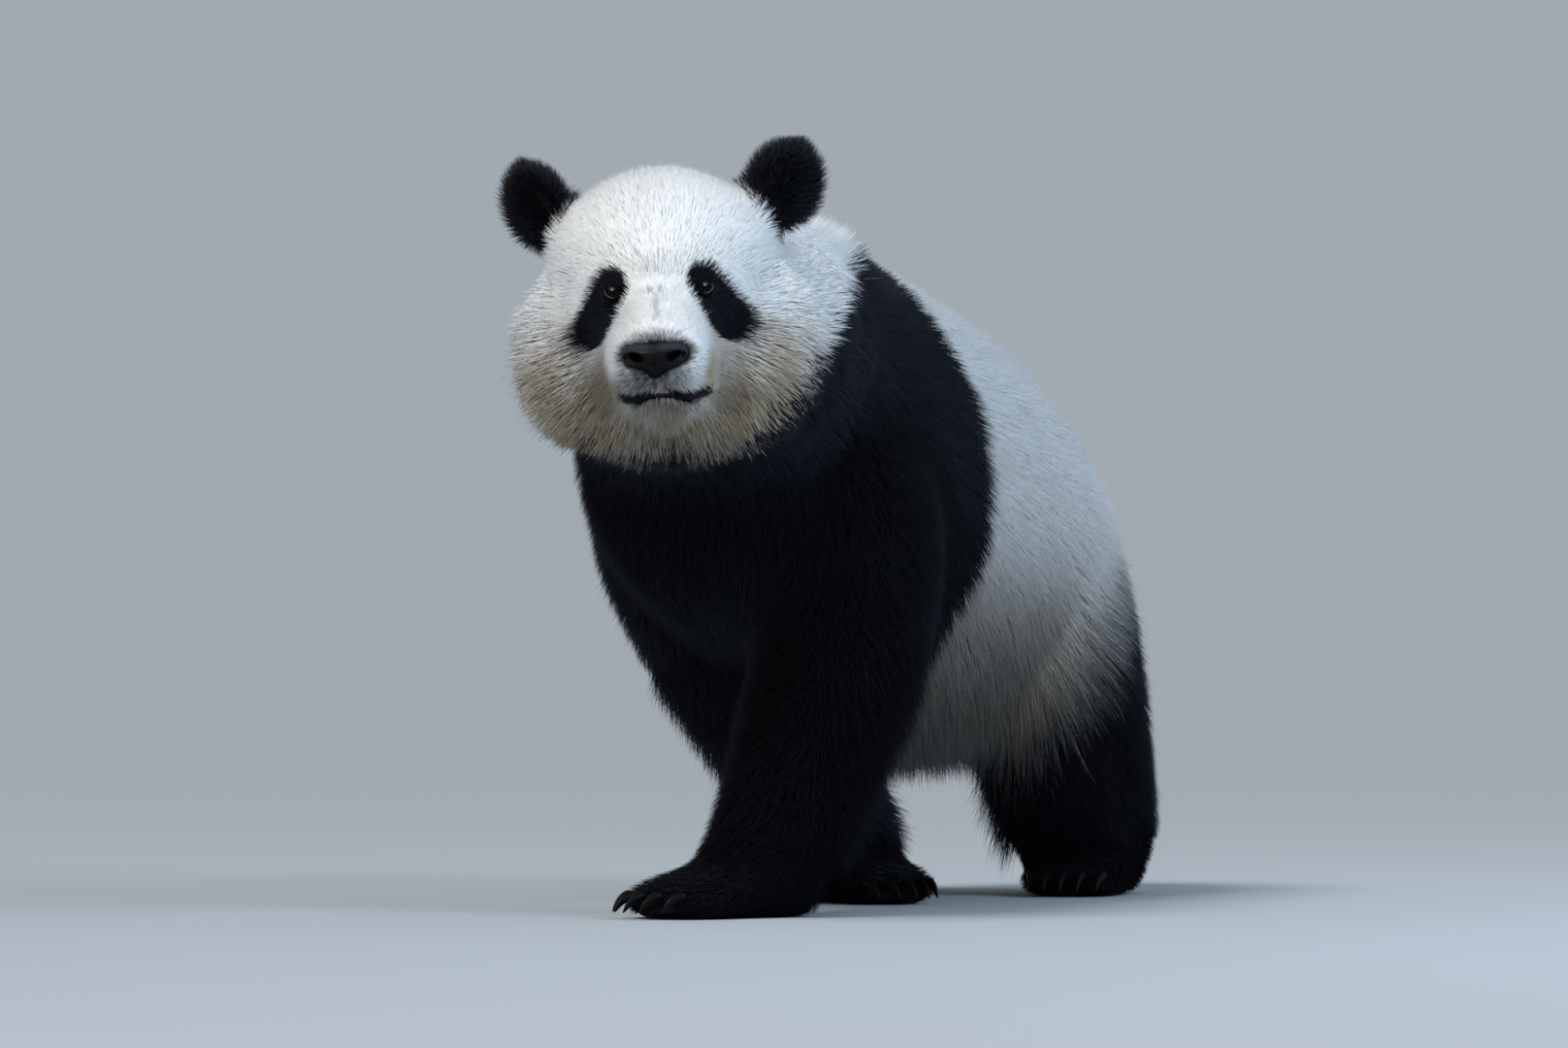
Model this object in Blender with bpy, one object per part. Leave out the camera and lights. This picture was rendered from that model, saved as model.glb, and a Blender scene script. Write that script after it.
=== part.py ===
"""A giant panda at life size, as a still model: standing in mid step, its head turned to its left.

Metres, +Z up. The animal faces -Y and its left side is +X. Every size is taken to the tips of the coat.
The flesh is lofted limb by limb, melted into one body, and then parted into the pieces that a person
would name. Eyes, nose, ears and claws are solids of their own, each seated in a pocket of its neighbour.
"""

import math
from functools import partial

import bmesh
import bpy
from mathutils import Matrix, Vector

GAP = 0.0005  # clearance between neighbouring pieces
SIDES = 20  # corners round a lofted limb
MELT = 0.008  # voxel that melts the lofts into one body
BODY_TRIANGLES = 2600  # left in the melted body before it is parted

# Driving sizes of the body
WITHERS = 0.735  # shoulder height over the floor
GIRTH = 0.198  # half width of the barrel
SEAT = 0.81  # from the shoulders back to the seat
EYE_POINT = Vector((0.056, -0.409, 0.638))  # between the eyes, over the floor under the shoulders
HEAD_TURN = math.radians(20)  # to its left
HEAD_ROLL = math.radians(-3)  # left ear up

# Head landmarks, from the point between the eyes: x to its left, -y out of the face
EYE_APART = 0.047
EYE_RADIUS = 0.0115
EAR_RADIUS = 0.050
EARS = {  # base of each ear, and the degrees that it faces outwards
    "left": (Vector((0.114, 0.085, 0.073)), 20),
    "right": (Vector((-0.109, 0.085, 0.064)), 38),
}
NOSE_POINT = Vector((0.0, -0.092, -0.073))
MOUTH_HEIGHT = -0.112

# Trunk rings: (y, top, bottom, half width, share by which the lower half is wider)
TRUNK = [
    (-0.205, 0.520, 0.400, 0.060, 0.0),
    (-0.175, 0.610, 0.335, 0.136, 0.0),
    (-0.10, WITHERS - 0.008, 0.285, 0.172, 0.0),
    (0.00, WITHERS, 0.250, 0.184, 0.0),
    (0.12, WITHERS - 0.012, 0.215, GIRTH - 0.005, 0.04),
    (0.27, WITHERS - 0.035, 0.180, GIRTH + 0.002, 0.08),
    (0.43, WITHERS - 0.065, 0.163, GIRTH + 0.008, 0.08),
    (0.57, WITHERS - 0.112, 0.170, GIRTH + 0.002, 0.08),
    (0.68, 0.563, 0.195, 0.175, 0.06),
    (0.76, 0.490, 0.235, 0.138, 0.0),
    (SEAT, 0.420, 0.290, 0.065, 0.0),
]
NECK = [
    (0.036, -0.300, 0.600, 0.135, 0.130),
    (0.024, -0.215, 0.597, 0.160, 0.150),
    (0.010, -0.130, 0.575, 0.170, 0.163),
    (0.0, -0.020, 0.520, 0.170, 0.185),
]
TAIL = [
    (0.0, 0.745, 0.465, 0.045, 0.040),
    (0.0, 0.788, 0.430, 0.056, 0.042),
    (0.0, 0.812, 0.375, 0.054, 0.038),
    (0.0, 0.814, 0.325, 0.040, 0.030),
    (0.0, 0.808, 0.300, 0.020, 0.016),
]

# Limb rings: (x, y, z, half width, half depth), from the body down to the ankle
LIMBS = {
    "foreleg_left": [
        (0.096, -0.01, 0.53, 0.060, 0.10),
        (0.122, -0.03, 0.43, 0.086, 0.13),
        (0.118, -0.035, 0.32, 0.092, 0.115),
        (0.106, -0.085, 0.22, 0.089, 0.095),
        (0.096, -0.145, 0.13, 0.078, 0.082),
        (0.084, -0.180, 0.06, 0.072, 0.078),
        (0.074, -0.195, 0.015, 0.06, 0.07),
    ],
    "foreleg_right": [
        (-0.096, 0.00, 0.53, 0.060, 0.10),
        (-0.110, 0.01, 0.43, 0.082, 0.125),
        (-0.090, 0.080, 0.32, 0.086, 0.11),
        (-0.062, 0.165, 0.22, 0.084, 0.09),
        (-0.035, 0.235, 0.13, 0.075, 0.078),
        (-0.012, 0.270, 0.06, 0.068, 0.072),
        (-0.005, 0.280, 0.015, 0.058, 0.066),
    ],
    "hindleg_left": [
        (0.092, 0.57, 0.47, 0.072, 0.11),
        (0.114, 0.575, 0.36, 0.094, 0.140),
        (0.126, 0.580, 0.26, 0.101, 0.132),
        (0.134, 0.600, 0.17, 0.100, 0.116),
        (0.140, 0.630, 0.10, 0.092, 0.102),
        (0.144, 0.640, 0.05, 0.082, 0.092),
        (0.144, 0.640, 0.015, 0.068, 0.080),
    ],
    "hindleg_right": [
        (-0.092, 0.55, 0.47, 0.072, 0.11),
        (-0.114, 0.52, 0.36, 0.094, 0.140),
        (-0.130, 0.475, 0.26, 0.100, 0.128),
        (-0.134, 0.48, 0.17, 0.094, 0.106),
        (-0.136, 0.50, 0.10, 0.082, 0.090),
        (-0.136, 0.51, 0.05, 0.074, 0.082),
        (-0.136, 0.51, 0.015, 0.062, 0.072),
    ],
}
JOINT_HEIGHT = {"foreleg": 0.27, "hindleg": 0.245}  # elbow of a foreleg, knee of a hind leg
ANKLE_HEIGHT = 0.085
LIMB_PARTS = {"foreleg": ("upper_arm", "forearm", "forepaw"), "hindleg": ("thigh", "shank", "hindpaw")}

# Paws: heel on the floor (x, y), degrees turned from straight ahead towards its left, length, width
PAWS = {
    "foreleg_left": (0.090, -0.138, -27, 0.200, 0.138),
    "foreleg_right": (-0.052, 0.312, 50, 0.190, 0.132),
    "hindleg_left": (0.138, 0.715, 8, 0.225, 0.136),
    "hindleg_right": (-0.134, 0.580, -6, 0.225, 0.134),
}
PAW_HEIGHT = 0.072
TOES = 5
TOE_RADIUS = 0.0225
CLAW_LENGTH = 0.036
CLAW_RADIUS = 0.0052
CLAW_BEND = math.radians(62)

COLOURS = {
    "white_coat": ((0.80, 0.77, 0.70), 0.85),
    "black_coat": ((0.012, 0.012, 0.014), 0.8),
    "nose_leather": ((0.015, 0.014, 0.015), 0.35),
    "eye": ((0.02, 0.012, 0.008), 0.05),
    "claw": ((0.16, 0.14, 0.12), 0.4),
}


def material(name):
    made = bpy.data.materials.get(name)
    if made is None:
        made = bpy.data.materials.new(name)
        made.use_nodes = True
        colour, roughness = COLOURS[name]
        shader = made.node_tree.nodes["Principled BSDF"]
        shader.inputs["Base Color"].default_value = (*colour, 1)
        shader.inputs["Roughness"].default_value = roughness
        shader.inputs["Metallic"].default_value = 0
        made.diffuse_color = (*colour, 1)
    return made


def object_of(name, shape):
    """A new object from a bmesh, with its faces pointing out."""
    bmesh.ops.recalc_face_normals(shape, faces=shape.faces)
    mesh = bpy.data.meshes.new(name)
    shape.to_mesh(mesh)
    shape.free()
    made = bpy.data.objects.new(name, mesh)
    bpy.context.scene.collection.objects.link(made)
    return made


def between(rows, steps):
    """The rows with steps - 1 more between each two, on a Catmull-Rom curve."""
    padded = [rows[0], *rows, rows[-1]]
    made = []
    for before, start, end, after in zip(padded, padded[1:], padded[2:], padded[3:]):
        for step in range(steps):
            t = step / steps
            made.append(
                tuple(
                    b + 0.5 * t * (c - a + t * (2 * a - 5 * b + 4 * c - d + t * (3 * (b - c) + d - a)))
                    for a, b, c, d in zip(before, start, end, after)
                )
            )
    return [*made, tuple(rows[-1])]


def tube(name, rings):
    """A closed tube through rings of points, in triangles, so that a grown copy lies outside it all round."""
    shape = bmesh.new()
    rings = [[shape.verts.new(point) for point in ring] for ring in rings]
    for first, second in zip(rings, rings[1:]):
        for i, corner in enumerate(first):
            j = (i + 1) % len(first)
            shape.faces.new((corner, first[j], second[j]))
            shape.faces.new((corner, second[j], second[i]))
    shape.faces.new(rings[0])
    shape.faces.new(rings[-1])
    return object_of(name, shape)


def trunk_loft():
    """Upright oval rings along Y, pear-shaped where the belly hangs."""
    rings = []
    for y, top, bottom, half, pear in between(TRUNK, 3):
        middle, tall = (top + bottom) / 2, (top - bottom) / 2
        turns = [math.tau * i / SIDES for i in range(SIDES)]
        rings.append(
            [(half * (1 - pear * math.sin(a)) * math.cos(a), y, middle + tall * math.sin(a)) for a in turns]
        )
    return tube("trunk", rings)


def limb_loft(name, rows, extra=0.0, steps=3, sides=SIDES):
    """Oval rings square to a path of (x, y, z, half width, half depth), grown on every side by extra."""
    rows = between(rows, steps)
    points = [Vector(row[:3]) for row in rows]
    points[0] += (points[0] - points[1]).normalized() * extra
    points[-1] += (points[-1] - points[-2]).normalized() * extra
    rings = []
    for i, (point, row) in enumerate(zip(points, rows)):
        along = (points[min(i + 1, len(points) - 1)] - points[max(i - 1, 0)]).normalized()
        side = (Vector((1, 0, 0)) - along * along.x).normalized()
        depth = along.cross(side)
        turns = [math.tau * k / sides for k in range(sides)]
        wide, deep = row[3] + extra, row[4] + extra
        rings.append([point + side * (math.cos(a) * wide) + depth * (math.sin(a) * deep) for a in turns])
    return tube(name, rings)


def ball(name, centre, radii, place=Matrix.Identity(4), extra=0.0, segments=16, rings=10):
    shape = bmesh.new()
    size = Matrix.Diagonal((*(radius + extra for radius in radii), 1))
    middle = Matrix.Translation(centre)
    bmesh.ops.create_uvsphere(
        shape, u_segments=segments, v_segments=rings, radius=1, matrix=place @ middle @ size
    )
    return object_of(name, shape)


def block(low, high, place=Matrix.Identity(4), extra=0.0):
    """A box between two corners, grown on every side by extra."""
    shape = bmesh.new()
    middle = (Vector(low) + Vector(high)) / 2
    size = Matrix.Diagonal((*(b - a + 2 * extra for a, b in zip(low, high)), 1))
    bmesh.ops.create_cube(shape, size=1, matrix=place @ Matrix.Translation(middle) @ size)
    return object_of("block", shape)


def evaluated(piece):
    """The same piece, with its mesh replaced by what its modifiers make of it."""
    bpy.context.view_layer.update()
    graph = bpy.context.evaluated_depsgraph_get()
    mesh = bpy.data.meshes.new_from_object(piece.evaluated_get(graph))
    piece.modifiers.clear()
    piece.data = mesh
    return piece


def discard(*pieces):
    for piece in pieces:
        bpy.data.objects.remove(piece)


def combine(piece, operation, other):
    """Joins, cuts or trims the piece by the other object, which is then gone."""
    change = piece.modifiers.new(operation, "BOOLEAN")
    change.operation = operation
    change.object = other
    change.solver = "EXACT"
    evaluated(piece)
    discard(other)
    return piece


def carve(source, name, region):
    """Parts off what lies inside region(extra=0) as a new piece, and leaves a gap all round it."""
    piece = bpy.data.objects.new(name, source.data.copy())
    bpy.context.scene.collection.objects.link(piece)
    combine(piece, "INTERSECT", region(extra=0))
    combine(source, "DIFFERENCE", region(extra=GAP))
    return piece


def finish(piece, colour):
    piece.data.materials.clear()
    piece.data.materials.append(material(colour))
    piece.data.shade_smooth()
    piece.data.set_sharp_from_angle(angle=math.radians(50))
    return piece


def head_place():
    turn = Matrix.Rotation(HEAD_TURN, 4, "Z")
    roll = Matrix.Rotation(HEAD_ROLL, 4, "Y")
    return Matrix.Translation(EYE_POINT) @ turn @ roll


def head_lofts(place):
    """Cranium, brow, cheeks, ruff and muzzle."""
    middle = {
        "cranium": ((0, 0.094, 0.026), (0.124, 0.118, 0.108)),
        "occiput": ((0, 0.155, 0.0), (0.115, 0.095, 0.108)),
        "ruff": ((0, 0.085, -0.088), (0.118, 0.090, 0.094)),
        "bridge": ((0, 0.005, -0.020), (0.034, 0.050, 0.024)),
        "chin": ((0, -0.038, -0.128), (0.040, 0.036, 0.026)),
    }
    made = [ball(name, centre, radii, place) for name, (centre, radii) in middle.items()]
    for side in (1, -1):
        made.append(ball("cheek", (0.077 * side, 0.080, -0.062), (0.085, 0.083, 0.099), place))
        made.append(ball("brow", (0.052 * side, 0.036, 0.018), (0.042, 0.042, 0.036), place))
    muzzle = [
        (0.0, 0.030, -0.068, 0.064, 0.066),
        (0.0, -0.015, -0.073, 0.061, 0.064),
        (0.0, -0.045, -0.079, 0.058, 0.058),
        (0.0, -0.070, -0.083, 0.052, 0.048),
        (0.0, -0.086, -0.086, 0.040, 0.036),
        (0.0, -0.092, -0.087, 0.022, 0.022),
    ]
    snout = limb_loft("muzzle", muzzle)
    snout.data.transform(place)
    return [*made, snout]


def paw_place(limb):
    x, y, heading, _, _ = PAWS[limb]
    return Matrix.Translation((x, y, 0)) @ Matrix.Rotation(math.radians(heading), 4, "Z")


def toe_points(length, width):
    """The middle of each toe's ball and its share of the way across: the middle toe reaches furthest."""
    half = (TOES - 1) / 2
    for toe in range(TOES):
        across = (toe - half) / half
        reach = length - TOE_RADIUS - 0.018 * across * across
        yield Vector((across * (width / 2 - TOE_RADIUS), -reach, TOE_RADIUS * 0.9)), across


def paw_lofts(limb):
    """A foot with its toes, from the heel towards -Y of its own place, sunk a little under the floor."""
    _, _, _, length, width = PAWS[limb]
    half, tall = width / 2, PAW_HEIGHT / 2
    sunk = 0.010
    rows = [
        (0.0, 0.004, tall - sunk, half * 0.50, tall * 0.8),
        (0.0, -0.03, tall - sunk, half * 0.82, tall + 0.006),
        (0.0, -length * 0.45, tall - sunk, half * 0.97, tall + 0.004),
        (0.0, -length * 0.72, tall * 0.86 - sunk, half * 1.0, tall * 0.86),
        (0.0, -length * 0.90, tall * 0.60 - sunk, half * 0.88, tall * 0.60),
    ]
    place = paw_place(limb)
    foot = limb_loft("foot", rows)
    foot.data.transform(place)
    toe = (TOE_RADIUS, TOE_RADIUS * 1.5, TOE_RADIUS)
    return [foot, *(ball("toe", point, toe, place) for point, _ in toe_points(length, width))]


def claw(name, place, extra=0.0):
    """A curved claw that leaves its toe forwards and bends down to just over the floor."""
    stations = []
    for step in range(4):
        t = step / 3
        bend = t * CLAW_BEND
        forward = TOE_RADIUS * 0.9 + CLAW_LENGTH * math.sin(bend) / CLAW_BEND
        drop = CLAW_LENGTH * (1 - math.cos(bend)) / CLAW_BEND
        radius = CLAW_RADIUS * (1 - t) ** 0.6 + 0.0008
        stations.append((0.0, -forward, 0.004 - drop, radius, radius * 1.25))
    made = limb_loft(name, stations, extra, steps=1, sides=5)
    made.data.transform(place)
    return made


def melted_body(lofts):
    """One closed skin round all the lofts, with flat soles on the floor."""
    shape = bmesh.new()
    for loft in lofts:
        shape.from_mesh(loft.data)
    discard(*lofts)
    body = object_of("trunk", shape)
    melt = body.modifiers.new("melt", "REMESH")
    melt.mode = "VOXEL"
    melt.voxel_size = MELT
    settle = body.modifiers.new("settle", "SMOOTH")
    settle.factor = 0.5
    settle.iterations = 8
    evaluated(body)
    thin = body.modifiers.new("thin", "DECIMATE")
    thin.ratio = BODY_TRIANGLES / (2 * len(body.data.polygons))
    evaluated(body)
    return combine(body, "DIFFERENCE", block((-2, -2, -1), (2, 2, 0)))


def build_paw(body, limb, name):
    """Parts a paw off the body at the ankle and seats its claws."""
    _, _, _, length, width = PAWS[limb]
    place = paw_place(limb)
    low, high = (-width * 0.75, -length - 0.03, -0.1), (width * 0.75, 0.06, ANKLE_HEIGHT)
    paw = carve(body, name, partial(block, low, high, place))
    claws = []
    for number, (point, across) in enumerate(toe_points(length, width)):
        spread = Matrix.Rotation(across * math.radians(-9), 4, "Z")
        at = place @ Matrix.Translation(point) @ spread
        nail = claw(f"{name}_claw_{number + 1}", at)
        combine(paw, "DIFFERENCE", claw("room", at, GAP))
        claws.append(finish(nail, "claw"))
    return [finish(paw, "black_coat"), *claws]


def build_limb(body, limb):
    """Parts a limb off the body, and across at its joint and its ankle."""
    prefix, side = limb.split("_")
    upper, lower, foot = (f"{part}_{side}" for part in LIMB_PARTS[prefix])
    pieces = build_paw(body, limb, foot)
    sleeve = [(x, y, z, wide * 1.15, deep * 1.15) for x, y, z, wide, deep in LIMBS[limb]]
    whole = carve(body, upper, partial(limb_loft, "sleeve", sleeve, steps=1, sides=10))
    shin = carve(whole, lower, partial(block, (-2, -2, -1), (2, 2, JOINT_HEIGHT[prefix])))
    return [*pieces, finish(whole, "black_coat"), finish(shin, "black_coat")]


def nose_pad(place, extra=0.0):
    """The bare nose leather without its nostrils: a wide pad over a narrower tip."""
    pad = ball("nose", NOSE_POINT + Vector((0, 0.002, 0)), (0.033, 0.017, 0.017), place, extra, 16, 8)
    tip = ball("tip", NOSE_POINT + Vector((0, 0.003, -0.011)), (0.016, 0.013, 0.014), place, extra, 10, 6)
    return combine(pad, "UNION", tip)


def build_nose(head, place):
    combine(head, "DIFFERENCE", nose_pad(place, GAP))
    pad = nose_pad(place)
    for side in (1, -1):
        at = place @ Matrix.Translation(NOSE_POINT + Vector((0.016 * side, -0.013, -0.003)))
        lean = Matrix.Rotation(math.radians(18) * side, 4, "Y")
        combine(pad, "DIFFERENCE", ball("nostril", (0, 0, 0), (0.0092, 0.008, 0.005), at @ lean, 0, 8, 6))
    return finish(pad, "nose_leather")


def build_ear(head, side, sign, place):
    """A round upright ear, cupped towards the front, its base sunk in the head."""
    stand = Matrix.Rotation(math.radians(24) * sign, 4, "Y")
    base, turn = EARS[side]
    face = Matrix.Rotation(math.radians(turn) * sign, 4, "Z")
    at = place @ Matrix.Translation(base) @ stand @ face
    round_ear = (EAR_RADIUS * 0.92, 0.023, EAR_RADIUS * 1.06)
    shell = partial(ball, f"ear_{side}", (0, 0, 0.034), round_ear, at, segments=14, rings=8)
    combine(head, "DIFFERENCE", shell(extra=GAP))
    cup = ball("cup", (0, -0.030, 0.040), (EAR_RADIUS * 0.66, 0.019, EAR_RADIUS * 0.74), at, 0, 10, 8)
    return finish(combine(shell(), "DIFFERENCE", cup), "black_coat")


def build_eye(head, side, sign, place):
    sphere = partial(ball, f"eye_{side}", (EYE_APART * sign, 0, 0), (EYE_RADIUS,) * 3, place, segments=10, rings=8)
    combine(head, "DIFFERENCE", sphere(extra=GAP))
    return finish(sphere(), "eye")


def build_head(body, place):
    """Parts the head and neck off the body, and seats the jaw, nose, eyes and ears."""
    head = carve(body, "head", partial(block, (-0.3, -0.3, -0.195), (0.3, 0.165, 0.3), place))
    shoulder = Matrix.Translation((0, -0.145, 0.57)) @ Matrix.Rotation(math.radians(-20), 4, "X")
    neck = carve(body, "neck", partial(block, (-0.3, -0.5, -0.12), (0.3, 0, 0.4), shoulder))
    jaw = carve(head, "lower_jaw", partial(block, (-0.062, -0.14, -0.160), (0.062, 0, MOUTH_HEIGHT), place))
    pieces = [build_nose(head, place)]
    for side, sign in (("left", 1), ("right", -1)):
        pieces.append(build_eye(head, side, sign, place))
        pieces.append(build_ear(head, side, sign, place))
    return [*pieces, *(finish(piece, "white_coat") for piece in (head, neck, jaw))]


def build_tail(body):
    brush = partial(limb_loft, "tail", TAIL, steps=1, sides=10)
    combine(body, "DIFFERENCE", brush(extra=GAP))
    return finish(brush(), "white_coat")


def set_down(pieces):
    """Moves the model so that its origin is on the floor, in the middle of its length and width."""
    corners = [vertex.co for piece in pieces for vertex in piece.data.vertices]
    low = Vector(min(corner[i] for corner in corners) for i in range(3))
    high = Vector(max(corner[i] for corner in corners) for i in range(3))
    shift = Matrix.Translation((-(low.x + high.x) / 2, -(low.y + high.y) / 2, -low.z))
    for piece in pieces:
        piece.data.transform(shift)


def main():
    for old in list(bpy.data.objects):
        bpy.data.objects.remove(old)
    place = head_place()
    lofts = [trunk_loft(), limb_loft("neck", NECK), *head_lofts(place)]
    for limb, rows in LIMBS.items():
        lofts += [limb_loft(limb, rows), *paw_lofts(limb)]
    body = melted_body(lofts)
    pieces = [piece for limb in LIMBS for piece in build_limb(body, limb)]
    pieces += build_head(body, place)
    pieces += [build_tail(body), finish(body, "white_coat")]
    set_down(pieces)


main()
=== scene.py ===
import math

import bmesh
import bpy
import numpy as np
from mathutils import Matrix, Vector
from mathutils.bvhtree import BVHTree
from mathutils.kdtree import KDTree


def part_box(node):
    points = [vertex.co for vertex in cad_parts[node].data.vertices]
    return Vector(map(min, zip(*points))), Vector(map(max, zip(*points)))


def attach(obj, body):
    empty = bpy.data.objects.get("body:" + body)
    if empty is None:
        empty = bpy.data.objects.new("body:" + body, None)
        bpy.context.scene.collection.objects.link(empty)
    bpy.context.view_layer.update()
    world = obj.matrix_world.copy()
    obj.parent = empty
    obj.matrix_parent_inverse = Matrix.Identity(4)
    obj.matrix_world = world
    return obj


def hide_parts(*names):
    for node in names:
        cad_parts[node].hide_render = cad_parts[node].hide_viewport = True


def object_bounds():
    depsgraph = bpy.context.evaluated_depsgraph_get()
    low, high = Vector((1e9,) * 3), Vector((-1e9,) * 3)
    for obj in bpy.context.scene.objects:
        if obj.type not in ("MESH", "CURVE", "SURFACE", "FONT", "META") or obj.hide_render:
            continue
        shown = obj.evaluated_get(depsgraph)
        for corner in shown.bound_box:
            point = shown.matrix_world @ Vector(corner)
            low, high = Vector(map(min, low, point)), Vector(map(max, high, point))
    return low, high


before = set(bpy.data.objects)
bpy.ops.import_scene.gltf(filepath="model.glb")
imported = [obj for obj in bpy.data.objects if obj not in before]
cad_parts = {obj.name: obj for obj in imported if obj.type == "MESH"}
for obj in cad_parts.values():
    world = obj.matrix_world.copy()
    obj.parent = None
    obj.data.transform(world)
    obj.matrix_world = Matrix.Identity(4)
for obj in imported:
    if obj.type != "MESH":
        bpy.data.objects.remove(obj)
cad_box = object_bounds()

SIDES = ("left", "right")
SEED = 4151
SKIN_STEP = 0.0068
INFLATE = 0.0012
ROOT_SUNK = 0.0012
LEADER_EVERY = 10
BOX_GIVE = 0.12
PATCH = 0.003
PIECE_TRIANGLES = 185000
FLOOR_CLEARANCE = 0.0006

# How deep the coat is over each piece of flesh, how long its hair is, and its locks per square metre.
COAT = {
    "head": (0.014, 0.030, 330000),
    "lower_jaw": (0.012, 0.026, 380000),
    "neck": (0.021, 0.044, 180000),
    "trunk": (0.018, 0.040, 150000),
    "tail": (0.019, 0.045, 140000),
    "ear": (0.007, 0.020, 480000),
    "upper_arm": (0.016, 0.038, 138000),
    "forearm": (0.014, 0.034, 138000),
    "forepaw": (0.010, 0.029, 180000),
    "thigh": (0.017, 0.042, 132000),
    "shank": (0.014, 0.038, 132000),
    "hindpaw": (0.010, 0.029, 150000),
}

# The same for the regions of the face, which keep their own coat within the head's.
FACE_COAT = {
    "forehead": (0.009, 0.018, 470000),
    "cheek": (0.023, 0.044, 260000),
    "beard": (0.021, 0.042, 270000),
    "bridge": (0.0055, 0.012, 600000),
    "around_eye": (0.0052, 0.011, 620000),
    "muzzle": (0.0042, 0.0095, 680000),
    "rim": (0.0020, 0.0048, 720000),
}

REGIONS = {
    "head": ("head", "lower_jaw"),
    "ears": ("ear",),
    "neck": ("neck",),
    "trunk": ("trunk", "tail"),
    "forelegs": ("upper_arm", "forearm", "forepaw"),
    "hindlegs": ("thigh", "shank", "hindpaw"),
}

# The head's own frame: x to the animal's left, y into the head, z up, from midway between the eyes.
EYE_RADIUS = 0.0115
EYE_OPEN = (0.0082, 0.0062, 0.0066)
EYE_SLANT = (0.94, 0.34)
NOSE_TIP = np.array((0.0, -0.092, -0.073))
EAR_BASE = {"left": (0.114, 0.085, 0.073), "right": (-0.109, 0.085, 0.064)}
MIDLINE = -0.0045
MUZZLE_MIDDLE = (0, -0.035, -0.05)
MOUTH = ((-0.052, -0.1010), (-0.0455, -0.1065), (-0.036, -0.1115), (-0.027, -0.1128), (-0.017, -0.1112),
         (-0.0065, -0.1092), (0.001, -0.1090), (0.010, -0.1098), (0.020, -0.1118), (0.030, -0.1118),
         (0.040, -0.1080), (0.050, -0.1020), (0.056, -0.0985))
NOSE_MIDDLE = (-0.0040, -0.0725)
NOSE_HALF = (0.0343, 0.0172)

# The dark patch about each eye, from the eye's middle: its two ends and how wide it is at each.
EYE_PATCH = ((1, ((-0.003, 0.0055), (0.0215, -0.0325), 0.0172, 0.0225)),
             (-1, ((0.000, 0.0045), (0.0225, -0.0365), 0.0180, 0.0195)))

# How far the pale hair of the head reaches, by the turn in degrees from straight below the face.
PALE_REACH = ((-60, 0.30), (-48, 0.20), (-36, 0.150), (-20, 0.147), (3, 0.132), (21, 0.149), (39, 0.151),
              (55, 0.153), (68, 0.160), (79, 0.166), (91, 0.180), (99, 0.193), (106, 0.22), (115, 0.30))

# The nose leather's heights about its middle, and its half width at each.
NOSE_OUTLINE = ((0.0146, 0.0), (0.0145, 0.0180), (0.0136, 0.0255), (0.0118, 0.0305), (0.0058, 0.0343),
                (-0.0014, 0.0332), (-0.0062, 0.0285), (-0.0092, 0.0210), (-0.0122, 0.0128),
                (-0.0158, 0.0074), (-0.0192, 0.0022), (-0.0200, 0.0))

# The crest of long hair behind the left ear, and the full temple, in the head's frame.
NAPE = np.array((0.092, -0.215, 0.712))
TEMPLE = (-0.140, 0.10, 0.0)

# The edges of the black on the body. The shoulder band's rear edge is how far back it comes at
# each height. The others are heights by the distance along the body: the band's top, the black
# of the chest where it meets the head, and the black of the hind legs.
BAND_REAR = ((0.20, -0.03), (0.273, -0.002), (0.313, 0.0), (0.392, 0.03), (0.557, 0.03),
             (0.612, 0.005), (0.659, -0.008), (0.74, -0.03))
BAND_TOP = ((-0.60, 0.59), (-0.405, 0.575), (-0.372, 0.617), (-0.281, 0.664), (-0.146, 0.690),
            (-0.10, 0.697), (-0.05, 0.80))
CHEST_TOP = ((-0.415, 0.40), (-0.405, 0.47), (-0.400, 0.51), (-0.395, 0.56), (-0.372, 0.600),
             (-0.30, 0.64))
LEG_TOP = ((0.22, 0.12), (0.30, 0.205), (0.335, 0.238), (0.37, 0.264), (0.41, 0.295),
           (0.50, 0.335), (0.60, 0.358), (0.68, 0.36))


def ramp(low, high, value):
    """A smooth rise from 0 at the low value to 1 at the high one."""
    part = np.clip((np.asarray(value, float) - low) / (high - low), 0, 1)
    return part * part * (3 - 2 * part)


def fall(low, high, value):
    """A smooth fall from 1 at the low value to 0 at the high one."""
    return 1 - ramp(low, high, value)


def bump(value, middle, reach):
    """1 at the middle, falling to 0 at a reach away."""
    return fall(0, reach, np.abs(value - middle))


def curve(value, stations):
    """A measure read off a run of stations."""
    at, measure = zip(*stations)
    return np.interp(value, at, measure)


def unit(vectors):
    return vectors / np.maximum(np.linalg.norm(vectors, axis=-1, keepdims=True), 1e-9)


def dot(a, b):
    return (a * b).sum(-1, keepdims=True)


def along_surface(vectors, normals):
    return unit(vectors - dot(vectors, normals) * normals)


def centre(node):
    low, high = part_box(node)
    return np.array((low + high) / 2)


EYES = {side: centre(f"eye_{side}") for side in SIDES}
HEAD_ORIGIN = (EYES["left"] + EYES["right"]) / 2
HEAD_X = unit(EYES["left"] - EYES["right"])
HEAD_Y = unit(np.cross((0.0, 0.0, 1.0), HEAD_X))
HEAD_AXES = np.array((HEAD_X, HEAD_Y, np.cross(HEAD_X, HEAD_Y)))
EYE_APART = np.linalg.norm(EYES["left"] - EYES["right"]) / 2


def to_head(points):
    return (points - HEAD_ORIGIN) @ HEAD_AXES.T


def from_head(points):
    return np.asarray(points) @ HEAD_AXES + HEAD_ORIGIN


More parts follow.
